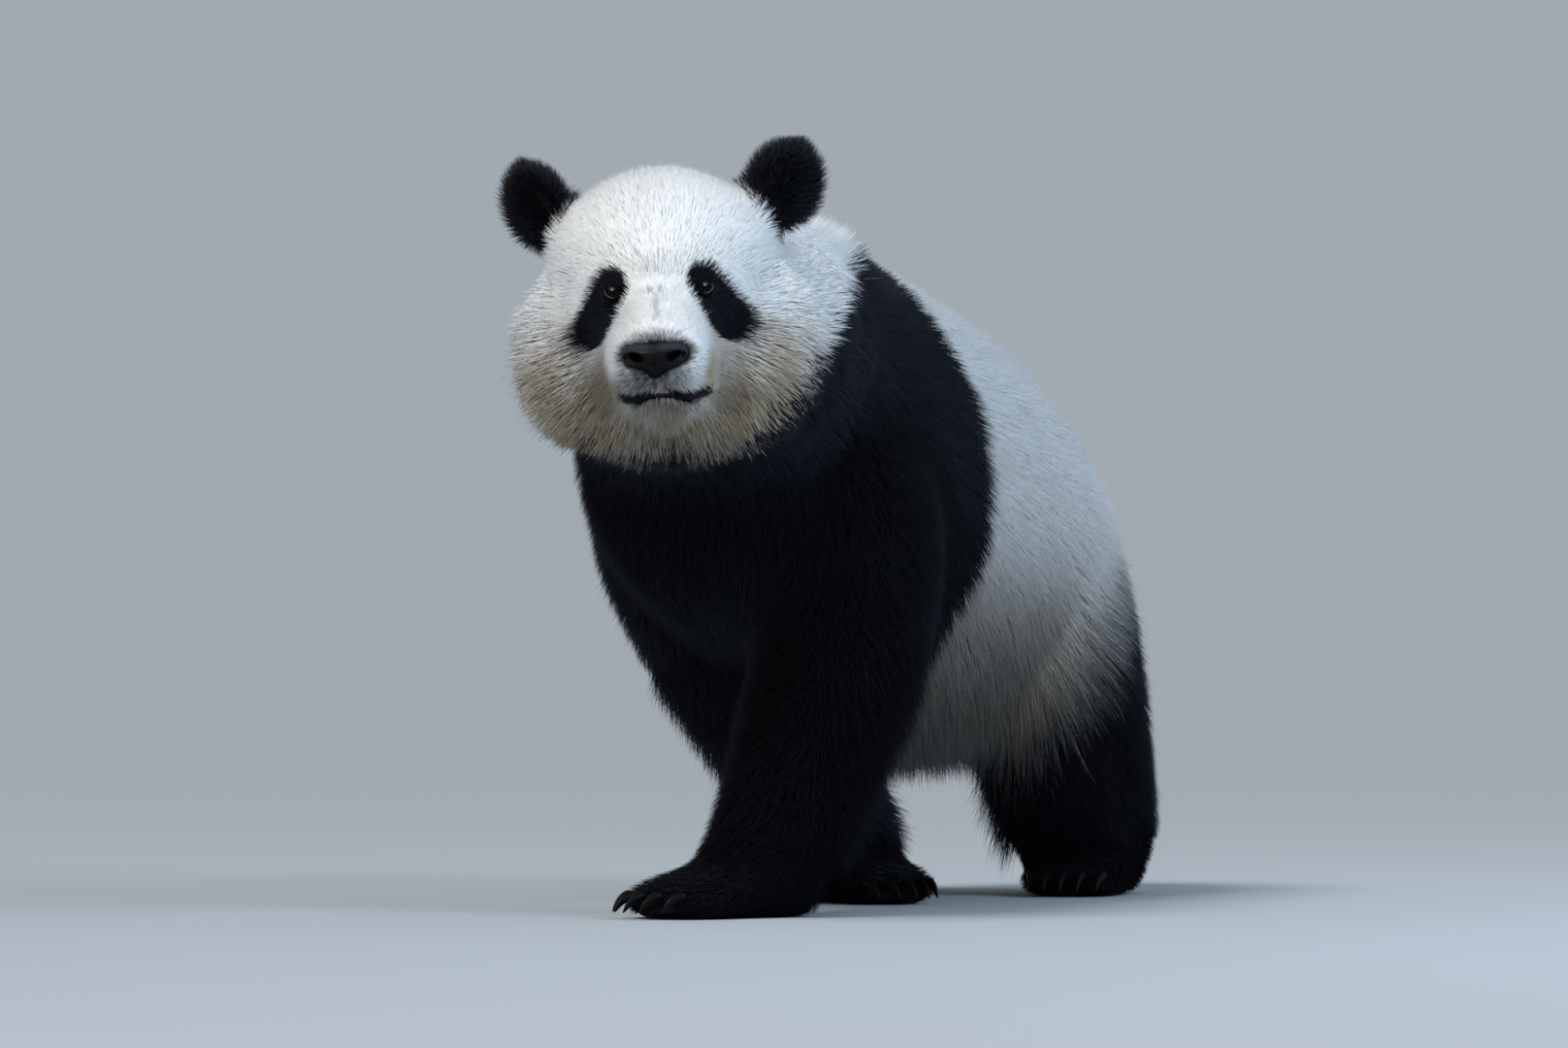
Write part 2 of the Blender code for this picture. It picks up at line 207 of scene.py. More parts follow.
def beside_mouth(x):
    """How far a place across the face is to either side of the mouth's middle."""
    return np.abs(x - MIDLINE - 0.003)


def ripple(points, size, seed):
    """Smooth noise from -1 to 1 whose features are about the given size."""
    rng = np.random.default_rng(seed)
    total = np.zeros(len(points))
    for _ in range(7):
        wave = unit(rng.normal(size=3)) * rng.uniform(0.6, 1.5) * 2 * math.pi / size
        total += np.sin(points @ wave + rng.uniform(0, 2 * math.pi))
    return np.clip(total / 3.2, -1, 1)


# ---------------------------------------------------------------- meshes

def read_vectors(items, attribute):
    flat = np.empty(len(items) * 3, np.float32)
    items.foreach_get(attribute, flat)
    return flat.reshape(-1, 3).astype(float)


def points_of(mesh):
    return read_vectors(mesh.vertices, "co")


def fill(items, attribute, values, kind=np.float32):
    items.foreach_set(attribute, np.ascontiguousarray(values, kind).ravel())


def triangles_of(mesh):
    """The corners of a mesh's triangles, as vertices and as loops."""
    mesh.calc_loop_triangles()
    found = []
    for attribute in ("vertices", "loops"):
        flat = np.empty(len(mesh.loop_triangles) * 3, np.int32)
        mesh.loop_triangles.foreach_get(attribute, flat)
        found.append(flat.reshape(-1, 3))
    return found


def tree_over(points, triangles):
    return BVHTree.FromPolygons(points.tolist(), triangles.tolist())


def mesh_of(name, points, faces):
    """A smooth mesh from points and faces that all have the same number of corners."""
    mesh = bpy.data.meshes.new(name)
    mesh.vertices.add(len(points))
    fill(mesh.vertices, "co", points)
    mesh.loops.add(faces.size)
    fill(mesh.loops, "vertex_index", faces, np.int32)
    mesh.polygons.add(len(faces))
    fill(mesh.polygons, "loop_start", np.arange(0, faces.size, faces.shape[1]), np.int32)
    mesh.update(calc_edges=True)
    mesh.shade_smooth()
    return mesh


def mesh_from(work, name):
    """The mesh of finished work, which is let go."""
    mesh = bpy.data.meshes.new(name)
    work.to_mesh(mesh)
    work.free()
    return mesh


def put_in(name, data):
    """Puts a mesh, a camera or a light in the scene."""
    holder = bpy.data.objects.new(name, data)
    bpy.context.scene.collection.objects.link(holder)
    return holder


def add_piece(name, mesh, finish, nodes=()):
    """Puts a finished mesh in the scene, on the one body."""
    piece = put_in(name, mesh)
    mesh.materials.clear()
    mesh.materials.append(finish)
    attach(piece, "root")
    if nodes:
        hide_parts(*nodes)


def with_modifier(mesh, kind, **settings):
    """The mesh that one modifier makes of another."""
    holder = put_in("holder", mesh)
    modifier = holder.modifiers.new(kind.lower(), kind)
    for name, value in settings.items():
        setattr(modifier, name, value)
    graph = bpy.context.evaluated_depsgraph_get()
    result = bpy.data.meshes.new_from_object(holder.evaluated_get(graph))
    bpy.data.objects.remove(holder)
    return result


def write_values(mesh, **values):
    for name, value in values.items():
        fill(mesh.attributes.new(name, "FLOAT", "POINT").data, "value", value)


def edge_pairs(mesh):
    pairs = np.empty(len(mesh.edges) * 2, np.int32)
    mesh.edges.foreach_get("vertices", pairs)
    return pairs.reshape(-1, 2)


def relaxed(values, edges, rounds, weight=0.5, hold=None):
    """Values averaged with their neighbours' over the surface. Points with hold 1 stay."""
    values = np.array(values, float)
    flat = values.reshape(len(values), -1)
    size = len(flat)
    count = np.maximum(np.bincount(edges.ravel(), minlength=size), 1)[:, None]
    step = weight if hold is None else weight * (1 - hold[:, None])
    for _ in range(rounds):
        total = np.empty_like(flat)
        for column in range(flat.shape[1]):
            total[:, column] = np.bincount(edges[:, 0], flat[edges[:, 1], column], size)
            total[:, column] += np.bincount(edges[:, 1], flat[edges[:, 0], column], size)
        flat = flat + step * (total / count - flat)
    return flat.reshape(values.shape)


def move(mesh, points):
    fill(mesh.vertices, "co", points)
    mesh.update()


# ---------------------------------------------------------------- the flesh

FLESH = [n for n in sorted(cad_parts) if "claw" not in n and not n.startswith(("eye_", "nose"))]
NAMES = np.array(FLESH)
KINDS = np.array([next(kind for kind in COAT if node.startswith(kind)) for node in FLESH])


def flesh_solid():
    """All the flesh nodes as one mesh, each a little swollen so that they join."""
    joined = bmesh.new()
    for node in FLESH:
        one = bmesh.new()
        one.from_mesh(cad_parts[node].data)
        bmesh.ops.remove_doubles(one, verts=one.verts, dist=1e-5)
        if node.startswith("ear_"):
            filled = bmesh.ops.convex_hull(one, input=one.verts)
            bmesh.ops.delete(one, geom=filled["geom_interior"], context="VERTS")
        one.normal_update()
        for vertex in one.verts:
            vertex.co += vertex.normal * INFLATE
        swollen = mesh_from(one, node)
        joined.from_mesh(swollen)
        bpy.data.meshes.remove(swollen)
    return mesh_from(joined, "flesh")


def flesh_labels(points):
    """For each point, the index in FLESH of the nearest flesh node."""
    corners = []
    owner = []
    for index, node in enumerate(FLESH):
        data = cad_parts[node].data
        triangles, _ = triangles_of(data)
        corners.append(points_of(data)[triangles].reshape(-1, 3))
        owner += [index] * len(triangles)
    corners = np.concatenate(corners)
    tree = tree_over(corners, np.arange(len(corners)).reshape(-1, 3))
    return np.array([owner[tree.find_nearest(point)[2]] for point in points])


def lip_corner(x):
    """1 near either corner of the mouth, where the lips are thickest."""
    return bump(beside_mouth(x), 0.031, 0.017)


def mouth_line(x):
    """The height of the mouth at places across the face, in the head's frame."""
    return curve(x, MOUTH)


def round_nose(x, z):
    """1 on the edge of the nose leather, less inside it and more outside."""
    return np.hypot((x - NOSE_MIDDLE[0]) / NOSE_HALF[0], (z - NOSE_MIDDLE[1]) / NOSE_HALF[1])


def off_nose(x, z):
    """How far each place is outside the edge of the nose leather, in metres, below 0 inside it."""
    heights, halves = np.array(NOSE_OUTLINE).T
    step = np.linspace(0, len(heights) - 1, 90)
    edge_z = np.interp(step, np.arange(len(heights)), heights)
    edge_x = np.interp(step, np.arange(len(heights)), halves)
    wide = np.abs(x - NOSE_MIDDLE[0])
    up = z - NOSE_MIDDLE[1]
    gap = np.full(len(x), 0.05)
    near = (wide < 0.06) & (np.abs(up) < 0.05)
    gap[near] = np.hypot(wide[near, None] - edge_x, up[near, None] - edge_z).min(1)
    inside = (wide < np.interp(up, heights[::-1], halves[::-1])) & (up < heights[0]) & (up > heights[-1])
    return np.where(inside, -gap, gap)


def eye_ring(head):
    """1 on the edge of either eye's opening, less inside it and more outside."""
    ring = np.full(len(head), 9.0)
    for sign in (1, -1):
        x = head[:, 0] * sign - EYE_APART
        z = head[:, 2]
        u = x * EYE_SLANT[0] + z * EYE_SLANT[1]
        v = z * EYE_SLANT[0] - x * EYE_SLANT[1]
        one = np.hypot(u / EYE_OPEN[0], v / np.where(v > 0, EYE_OPEN[1], EYE_OPEN[2]))
        ring = np.minimum(ring, np.where(head[:, 1] < 0.05, one, 9.0))
    return ring


def face_masks(head):
    """Where on the head each kind of coat grows, from points in the head's frame."""
    x, y, z = head.T
    wide = np.abs(x)
    on_head = (np.linalg.norm(head - (0, 0.09, -0.02), axis=1) < 0.215)
    front = fall(0.075, 0.14, y)
    muzzle = fall(-0.012, 0.032, y) * fall(0.058, 0.078, wide)
    muzzle *= ramp(-0.122, -0.110, z) * fall(-0.022, 0.012, z)
    muzzle *= on_head
    eye = np.hypot(wide - EYE_APART - 0.010, z + 0.013)
    around_eye = fall(0.038, 0.058, eye) * front * on_head
    rim = fall(0.003, 0.009, np.abs(z - mouth_line(x))) * (wide < 0.052) * (y < 0.0)
    rim = np.maximum(rim, fall(0.002, 0.008, off_nose(x, z)) * (y < -0.045)) * on_head
    rim = np.maximum(rim, fall(1.3, 2.1, eye_ring(head)))
    bridge = fall(0.020, 0.045, wide) * bump(z, -0.012, 0.05) * front * on_head
    forehead = ramp(0.0, 0.045, z) * fall(0.09, 0.17, y) * on_head
    cheek = ramp(0.055, 0.095, wide) * fall(-0.015, 0.03, z) * on_head
    cheek *= 1 - around_eye
    beard = fall(-0.135, -0.112, z) * on_head * ramp(-0.09, -0.02, y)
    return {"muzzle": muzzle, "around_eye": around_eye, "bridge": bridge, "forehead": forehead,
            "cheek": cheek, "beard": np.maximum(beard, 0) * (1 - muzzle), "rim": rim,
            "on_head": on_head * 1.0}


def coat_measures(points, labels, edges):
    """Depth, length and density of the coat at each point, even over the seams of the flesh."""
    masks = face_masks(to_head(points))
    is_face = np.isin(KINDS[labels], REGIONS["head"])
    found = []
    for column in range(3):
        value = np.array([COAT[kind][column] for kind in KINDS])[labels]
        for region, measures in FACE_COAT.items():
            share = masks[region] * is_face
            value = value * (1 - share) + measures[column] * share
        found.append(relaxed(value, edges, 24, hold=0.7 * masks["on_head"]))
    return found


# ---------------------------------------------------------------- the skin

def refine(mesh, wanted):
    """Splits the faces whose corners are all wanted."""
    work = bmesh.new()
    work.from_mesh(mesh)
    work.verts.ensure_lookup_table()
    chosen = [e for e in work.edges if wanted[e.verts[0].index] and wanted[e.verts[1].index]]
    bmesh.ops.subdivide_edges(work, edges=chosen, cuts=1, use_grid_fill=True)
    work.to_mesh(mesh)
    work.free()
    mesh.update()


def bare_skin():
    """The skin under the coat, before the face is worked."""
    mesh = with_modifier(flesh_solid(), "REMESH", mode="VOXEL", voxel_size=SKIN_STEP)
    outline = tree_over(points_of(mesh), triangles_of(mesh)[0])
    edges = edge_pairs(mesh)
    points = points_of(mesh)
    labels = flesh_labels(points)
    thin = (KINDS[labels] == "ear") * 0.85
    points = relaxed(points, edges, 14, hold=thin)
    move(mesh, points)
    depth, _, _ = coat_measures(points, labels, edges)
    soles = bump(points[:, 2], 0, 0.014)
    depth = relaxed(depth, edges, 12) * (1 - soles)
    for _ in range(4):
        normals = read_vectors(mesh.vertex_normals, "vector")
        points = points - normals * (depth / 4)[:, None]
        points = relaxed(points, edges, 1, 0.3, hold=thin)
        move(mesh, points)
    mesh = with_modifier(mesh, "REMESH", mode="VOXEL", voxel_size=SKIN_STEP)
    edges = edge_pairs(mesh)
    points = relaxed(points_of(mesh), edges, 3)
    low = points[:, 2] < 0.004
    points[low, 2] = np.maximum(points[low, 2], FLOOR_CLEARANCE)
    move(mesh, points)
    for reach in (0.135, 0.088):
        head = to_head(points_of(mesh))
        refine(mesh, (np.linalg.norm(head - MUZZLE_MIDDLE, axis=1) < reach) & (head[:, 1] < 0.045))
        points = points_of(mesh)
        gap = np.linalg.norm(to_head(points) - MUZZLE_MIDDLE, axis=1)
        fresh = fall(reach, reach + 0.02, gap)
        move(mesh, relaxed(points, edge_pairs(mesh), 3, 0.5, hold=1 - fresh))
    return mesh, outline


def seat_eyes(head):
    """Hollows the skin behind each eye and lays the lids over the ball."""
    ring = eye_ring(head)
    for sign in (1, -1):
        x, y, z = head[:, 0] - sign * EYE_APART, head[:, 1], head[:, 2]
        across = np.hypot(x, z)
        in_front = y < 0.035
        proud = EYE_RADIUS + 0.0002 + 0.0022 * ramp(1.05, 2.0, ring)
        lid = -np.sqrt(np.maximum(proud ** 2 - across ** 2, 0))
        cover = fall(0.0095, 0.0135, across) * in_front
        y = y * (1 - cover) + lid * cover
        hollow = fall(0.80, 0.96, ring) * in_front
        y = y * (1 - hollow) + 0.004 * hollow
        head[:, 1] = np.where(in_front & (across < 0.03), y, head[:, 1])
    return head


def cup_ears(points, labels):
    """Hollows the front of each ear a little, deepest in its middle."""
    for side in SIDES:
        ear = labels == FLESH.index(f"ear_{side}")
        solid = points_of(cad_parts[f"ear_{side}"].data)
        middle = solid.mean(0)
        thin = np.linalg.svd(solid - middle)[2][2]
        thin = thin * -np.sign(thin @ HEAD_AXES[1])
        gap = points - middle
        ahead = gap @ thin
        out = np.linalg.norm(gap - ahead[:, None] * thin, axis=1)
        sunk = 0.013 * fall(0.008, 0.036, out) * ramp(-0.004, 0.008, ahead) * ear
        points = points - sunk[:, None] * thin
    return points


def swelling(head, middle, reach):
    """A soft round swelling of the face about a place, from 1 to 0."""
    gap = np.hypot(head[:, 0] - middle[0], head[:, 2] - middle[1])
    return np.exp(-(gap / reach) ** 2) * (head[:, 1] < 0.02)


def shape_muzzle(head):
    """The brow, the fold over the muzzle, the lip pads and the chin."""
    x, y, z = head.T
    front = (y < 0.0) * 1.0
    for sign in (1, -1):
        y = y - 0.0028 * swelling(head, (sign * 0.046, 0.0175), 0.011)
        y = y - 0.0026 * swelling(head, (MIDLINE + sign * 0.021, -0.0975), 0.014)
        y = y + 0.0018 * swelling(head, (MIDLINE + sign * 0.036, -0.070), 0.010)
    y = y + 0.0030 * bump(z, -0.0055, 0.009) * bump(x, -0.001, 0.030)
    y = y - 0.0022 * swelling(head, (-0.002, 0.010), 0.016)
    y = y + 0.0018 * bump(x, MIDLINE, 0.004) * bump(z, -0.100, 0.012) * front
    y = y + 0.0035 * bump(z, mouth_line(x), 0.0055) * (np.abs(x) < 0.05) * front
    y = y - 0.0035 * swelling(head, (MIDLINE, -0.1270), 0.016)
    head[:, 1] = y
    return head


def shape_face(mesh):
    """Works the face from the plain skin: first evened round the nose, then shaped."""
    edges = edge_pairs(mesh)
    head = to_head(points_of(mesh))
    rough = fall(1.6, 2.1, round_nose(head[:, 0], head[:, 2])) * (head[:, 1] < -0.03)
    head = relaxed(head, edges, 24, 0.6, hold=1 - rough)
    points = from_head(seat_eyes(shape_muzzle(head)))
    move(mesh, cup_ears(points, flesh_labels(points)))
    return mesh


# ---------------------------------------------------------------- markings

def capsule(flat, start, end, start_radius, end_radius):
    """Distance outside a tapered capsule in a plane, below 0 inside it."""
    start = np.array(start)
    axis = np.array(end) - start
    along = np.clip((flat - start) @ axis / (axis @ axis), 0, 1)
    gap = np.linalg.norm(flat - start - along[:, None] * axis, axis=1)
    return gap - (start_radius + (end_radius - start_radius) * along)


def along_slant(points):
    """The distance along the body, on a slant over the shoulders."""
    x, y, _ = points.T
    return y + 0.318 * (0.163 - x) * ramp(-0.15, -0.38, y)


def body_marks(points, kinds):
    """The markings of the trunk, the neck, the legs and the ears, with painted shade greying the belly."""
    x, y, z = points.T
    body = np.isin(kinds, ["trunk", "neck"])
    hindleg = np.isin(kinds, REGIONS["hindlegs"])
    band = ramp(-0.008, 0.008, curve(z, BAND_REAR) - y)
    band = band * ramp(-0.008, 0.008, curve(along_slant(points), BAND_TOP) - z)
    leg_top = curve(y + 0.08 * ramp(0.05, -0.05, x), LEG_TOP)
    lower = -0.038 * fall(0.33, 0.38, y)
    leg_top = leg_top + np.clip(0.95 * (np.abs(x) - 0.17), lower, 0.045)
    stocking = ramp(-0.052, 0.045, leg_top - z)
    flank = ramp(0.045, 0.085, np.abs(x)) * ramp(0.24, 0.30, y)
    dark = np.where(body, np.maximum(band, stocking * flank), 0.0)
    dark = np.where(np.isin(kinds, REGIONS["forelegs"]) | (kinds == "ear"), 1.0, dark)
    dark = np.where(hindleg, stocking, dark)

    belly = fall(0.20, 0.43, z) * fall(0.24, 0.50, y)
    grizzle = bump(z - leg_top, 0.016, 0.095) ** 0.6 * 0.95 * (hindleg | body) * flank
    grizzle = grizzle * ramp(0.22, 0.30, y)
    # The belly is greyed with painted shade, darker towards the bottom; its cream is the coat's own tint.
    return {"dark": dark, "cream": belly, "grey_and_shade": np.maximum(grizzle, belly * 0.80 * body), "pink": 0.0}


def head_cream(points, head, muzzle, reach):
    """The warm tint of the cheeks and the beard, less at the edge of the face."""
    x, _, z = head.T
    cheeks = bump(z, -0.100, 0.092) * ramp(0.020, 0.050, np.abs(x)) * 1.15
    under = fall(-0.121, -0.105, z)
    cream = np.maximum(cheeks, under * 1.25) * reach
    edge = ramp(0.095, 0.155, np.hypot(x, (z + 0.06) * 0.62))
    cream = np.clip(cream * (1 - 0.75 * edge) * (0.85 + 0.35 * ripple(points, 0.05, 31)), 0, 1)
    return cream * (1 - muzzle)


def head_grey(points, head, muzzle, reach):
    """The greyed hair about the nose and mouth, the parting of the brow, painted shade in the fold across the
    bridge, and painted shade under the chin and beard.
    """
    x, y, z = head.T
    snout = y < -0.03
    brow = y < 0.02
    mottle = ripple(points, 0.007, 34)
    edge = off_nose(x, z)
    above = fall(0.001, 0.013, edge) * (z > -0.062) * bump(x, NOSE_MIDDLE[0], 0.036) * snout
    beside = fall(0.0005, 0.0035, edge) * 0.8 * snout
    below = bump(x, MIDLINE - 0.002, 0.036) ** 0.25 * bump(z, -0.0915, 0.0155) ** 0.25 * snout
    groove = bump(x, MIDLINE, 0.004) * bump(z, -0.098, 0.012) * snout
    parting = bump(x, -0.001, 0.006) * bump(z, -0.025, 0.034) * (0.26 + 0.18 * mottle) * brow
    # Painted shade in the fold across the bridge, below the brow.
    fold = bump(z, -0.0045 + 0.05 * x, 0.005) * bump(x, -0.001, 0.032)
    fold = fold * (0.35 + 0.3 * mottle) * brow
    flecks = muzzle * np.clip(mottle - 0.15, 0, 1) * 0.16
    # Painted shade under the chin and beard, darker towards the bottom.
    shaded = fall(-0.145, -0.114, z) * reach * 0.62
    lower_lip = bump(x, 0.0, 0.045) * bump(z - mouth_line(x), -0.005, 0.007) * 0.6 * (y < -0.02)
    grey_and_shade = np.maximum(above * 0.95, beside)
    grey_and_shade = np.maximum(np.maximum(grey_and_shade, shaded), below * (0.95 + 0.22 * mottle))
    return np.clip(np.maximum(grey_and_shade, groove) + parting + fold + flecks + lower_lip, 0, 1)


def lip_line(head):
    """How black the hair is along the mouth. The line is thicker above it and at its corners."""
    x, y, z = head.T
    over = z > mouth_line(x)
    aside = beside_mouth(x)
    thick = np.where(over, 0.0052 * ramp(0.0035, 0.009, aside), 0.0030 * bump(aside, 0.032, 0.019))
    band = 0.0022 + thick
    lip = fall(band - 0.001, band + 0.0015, np.abs(z - mouth_line(x)))
    lip = lip * np.where(over, 1.0, 0.6) * ramp(0.048, 0.036, np.abs(x - 0.002))
    return lip * (y < -0.005)


def head_marks(points):
    """The markings of the head and the lower jaw."""
    head = to_head(points)
    x, y, z = head.T
    nape = ramp(-0.008, 0.008, curve(along_slant(points), CHEST_TOP) - points[:, 2])
    patch = np.full(len(points), 1.0)
    for sign, shape in EYE_PATCH:
        flat = np.stack((x * sign - EYE_APART, z), 1)
        patch = np.minimum(patch, capsule(flat, *shape))
    patch = ramp(-0.002, 0.002, -patch) * (y < 0.09)
    pink = bump(x, MIDLINE + 0.004, 0.014) * bump(z, -0.1050, 0.0058) * (y < -0.03)
    dark = np.maximum(np.maximum(patch, nape), lip_line(head) * (1 - pink))
    muzzle = fall(0.044, 0.056, np.hypot(x - MIDLINE, (z + 0.060) * 1.05)) * (y < 0.01)
    reach = fall(0.06, 0.13, y - 0.6 * np.maximum(-0.13 - z, 0))
    return {"dark": dark, "cream": head_cream(points, head, muzzle, reach),
            "grey_and_shade": head_grey(points, head, muzzle, reach), "pink": pink}


def markings(points, labels):
    """How black, cream, greyed and pink the coat is at each point, from 0 to 1; the greying is partly painted
    shade.
    """
    kinds = KINDS[labels]
    on_head = np.isin(kinds, REGIONS["head"])
    face = head_marks(points)
    body = body_marks(points, kinds)
    return {mark: np.where(on_head, face[mark], body[mark]) for mark in face}


def past_ruff(points):
    """1 where a place is out past the edge of the face's pale hair, on the dark neck and chest."""
    head = to_head(points)
    turn = np.degrees(np.arctan2(head[:, 0], -0.03 - head[:, 2]))
    out = np.hypot(head[:, 0], head[:, 2] + 0.03)
    edge = curve(turn, PALE_REACH) + 0.006 * ripple(points, 0.03, 35)
    throat = (head[:, 1] > 0.17 + 0.7 * (head[:, 2] + 0.09)) & (head[:, 2] < -0.09)
    return ((out > edge) | throat) * (head[:, 1] > 0.0) * (head[:, 1] < 0.33)


def shadow_lips(points, marks):
    """Darkens the bare skin beside the mouth and the nose, past where the hair is dark."""
    head = to_head(points)
    x, y, z = head.T
    above = z - mouth_line(x)
    above = np.where(above < 0, above / (1 + lip_corner(x)), above)
    beside = fall(0.0030, 0.0062, np.abs(above))
    beside *= ramp(0.054, 0.044, np.abs(x))
    beside = np.maximum(beside, fall(0.001, 0.005, off_nose(x, z)) * 0.9)
    beside *= y < -0.005
    marks["dark"] = np.maximum(marks["dark"], beside * (1 - marks["pink"]))
    return marks


# ---------------------------------------------------------------- the lie of the coat

def lie_of_coat(points, normals, labels, edges):
    """The way the hair lies at each point, as unit vectors along the skin."""
    names = NAMES[labels]
    steep = 1 - np.clip(normals[:, 2], 0, 1)
    lie = np.zeros_like(points)
    lie[:, 1] = 1 - 0.62 * steep
    lie[:, 2] = -0.95 * steep
    chest = ramp(0.3, 0.7, -normals[:, 1]) * (points[:, 1] < -0.1)
    lie = lie * (1 - chest[:, None]) + np.array((0, 0.1, -1.0)) * chest[:, None]
    neck = names == "neck"
    lie[neck] = np.array((0, 0.75, -0.55)) + 0.25 * normals[neck]

    head = to_head(points)
    on_head = np.isin(names, REGIONS["head"])
    away = head - (0, -0.055, -0.045)
    droop = ramp(0.045, 0.10, np.abs(head[:, 0])) * fall(-0.03, 0.04, head[:, 2])
    away[:, 2] -= 0.05 * droop
    muzzle = fall(-0.05, 0.0, head[:, 1])
    from_nose = head - NOSE_TIP + np.array((0, -0.02, 0))
    away = away * (1 - muzzle[:, None]) + from_nose * muzzle[:, None]
    lie[on_head] = (unit(away) @ HEAD_AXES)[on_head]

    for side in SIDES:
        ear = names == f"ear_{side}"
        around = (points[ear] - points[ear].mean(0)) / 0.030
        lie[ear] = unit(points[ear] - from_head(EAR_BASE[side])) + around
        for upper, lower, paw, trail in (("upper_arm", "forearm", "forepaw", (0.45, 0.15)),
                                         ("thigh", "shank", "hindpaw", (0.35, 0.0))):
            lean = unit(centre(f"{paw}_{side}") - centre(f"{upper}_{side}"))
            lie[names == f"{upper}_{side}"] = lean + (0, trail[0], 0)
            lie[names == f"{lower}_{side}"] = lean + (0, trail[1], 0)
            toes = np.mean([centre(f"{paw}_{side}_claw_{n}") for n in range(1, 6)], axis=0)
            ahead = unit((toes - centre(f"{paw}_{side}")) * (1, 1, 0))
            lie[names == f"{paw}_{side}"] = ahead + (0, 0, -0.35)
    lie[names == "tail"] = (0, 0.25, -1)
    lie = relaxed(along_surface(lie, normals), edges, 16)
    return along_surface(lie, normals)


# ---------------------------------------------------------------- the coat

class Skin:
    """The finished skin, read once for growing the coat on it."""

    def __init__(self, mesh, outline):
        self.mesh = mesh
        self.points = points_of(mesh)
        self.normals = read_vectors(mesh.vertex_normals, "vector")
        self.edges = edge_pairs(mesh)
        self.labels = flesh_labels(self.points)
        self.triangles, self.loops = triangles_of(mesh)
        self.tree = tree_over(self.points, self.triangles)
        self.lie = lie_of_coat(self.points, self.normals, self.labels, self.edges)
        _, self.length, self.density = coat_measures(self.points, self.labels, self.edges)
        gap = np.array([outline.find_nearest(point)[3] for point in self.points]) - INFLATE
        ears = KINDS[self.labels] == "ear"
        gap = np.where(ears, np.minimum(gap, 0.011), gap)
        self.density = self.density * (1 + 1.3 * about(self.points, NAPE, 0.05))
        self.depth = relaxed(np.maximum(gap, 0.002), self.edges, 3)
        self.ear = relaxed(ears * 1.0, self.edges, 5)

    def unwrap(self):
        """Lays the skin out flat, by its own faces' directions."""
        holder = put_in("unwrap", self.mesh)
        bpy.context.view_layer.objects.active = holder
        holder.select_set(True)
        bpy.ops.object.mode_set(mode="EDIT")
        bpy.ops.mesh.select_all(action="SELECT")
        bpy.ops.uv.smart_project(angle_limit=math.radians(66), island_margin=0.004)
        bpy.ops.object.mode_set(mode="OBJECT")
        self.mesh.uv_layers[0].name = "OFBake"
        bpy.data.objects.remove(holder)
        self.triangles, self.loops = triangles_of(self.mesh)
        flat = np.empty(len(self.mesh.loops) * 2, np.float32)
        self.mesh.uv_layers["OFBake"].uv.foreach_get("vector", flat)
        self.uv = flat.reshape(-1, 2)

    def grow_points(self):
        """Roots spread evenly over the skin: their triangles and places in them."""
        rng = np.random.default_rng(SEED)
        a, b, c = (self.points[self.triangles[:, k]] for k in range(3))
        area = np.linalg.norm(np.cross(b - a, c - a), axis=1) / 2
        density = self.density[self.triangles].mean(1)
        middle = (a + b + c) / 3
        facing = unit(np.cross(b - a, c - a))
        sole = (middle[:, 2] < 0.006) | ((middle[:, 2] < 0.02) & (facing[:, 2] < -0.7))
        density = density * ~sole
        running = np.cumsum(area * density) + rng.uniform()
        count = np.diff(np.floor(np.concatenate(([0.0], running)))).astype(int)
        chosen = np.repeat(np.arange(len(area)), count)
        weights = rng.dirichlet((1, 1, 1), len(chosen))
        return chosen, weights

    def at(self, values, chosen, weights):
        corners = values[self.triangles[chosen]]
        if corners.ndim == 2:
            return (corners * weights).sum(1)
        return (corners * weights[:, :, None]).sum(1)


def clear_of_features(points):
    """Whether a root keeps off the eyes, the nose leather and the lips."""
    head = to_head(points)
    x, y, z = head.T
    above = z - mouth_line(x)
    lips = (above > -0.0012 - 0.0040 * lip_corner(x)) & (above < 0.0028) & (np.abs(x) < 0.046)
    lips |= np.hypot((x - MIDLINE - 0.003) / 0.0095, (z + 0.1062) / 0.0034) < 1
    off_leather = (off_nose(x, z) > -0.0008) | (y > -0.05)
    return (eye_ring(head) > 1.16) & off_leather & ~(lips & (y < 0))


def nearest_on(tree, points):
    """The nearest point of the skin, and the way it faces there, for each point."""
    places = np.empty_like(points)
    facing = np.empty_like(points)
    for index, point in enumerate(points):
        place, normal, _, _ = tree.find_nearest(point)
        places[index] = place
        facing[index] = normal
    return places, facing


def about(points, middle, reach):
    """A soft round share about a place, from 1 at it towards 0."""
    return np.exp(-(np.linalg.norm(points - middle, axis=1) / reach) ** 2)


def turned(root, lie, normal, even, rng):
    """The way each lock lies, turned in broad swirls and a little by itself."""
    swirl = 0.16 * ripple(root, 0.22, 11) + (0.10 * ripple(root, 0.06, 12)
                                             + rng.normal(0, 0.13, len(root))) * (1 - 0.5 * even)
    across = np.cross(normal, lie)
    return unit(lie * np.cos(swirl)[:, None] + across * np.sin(swirl)[:, None])


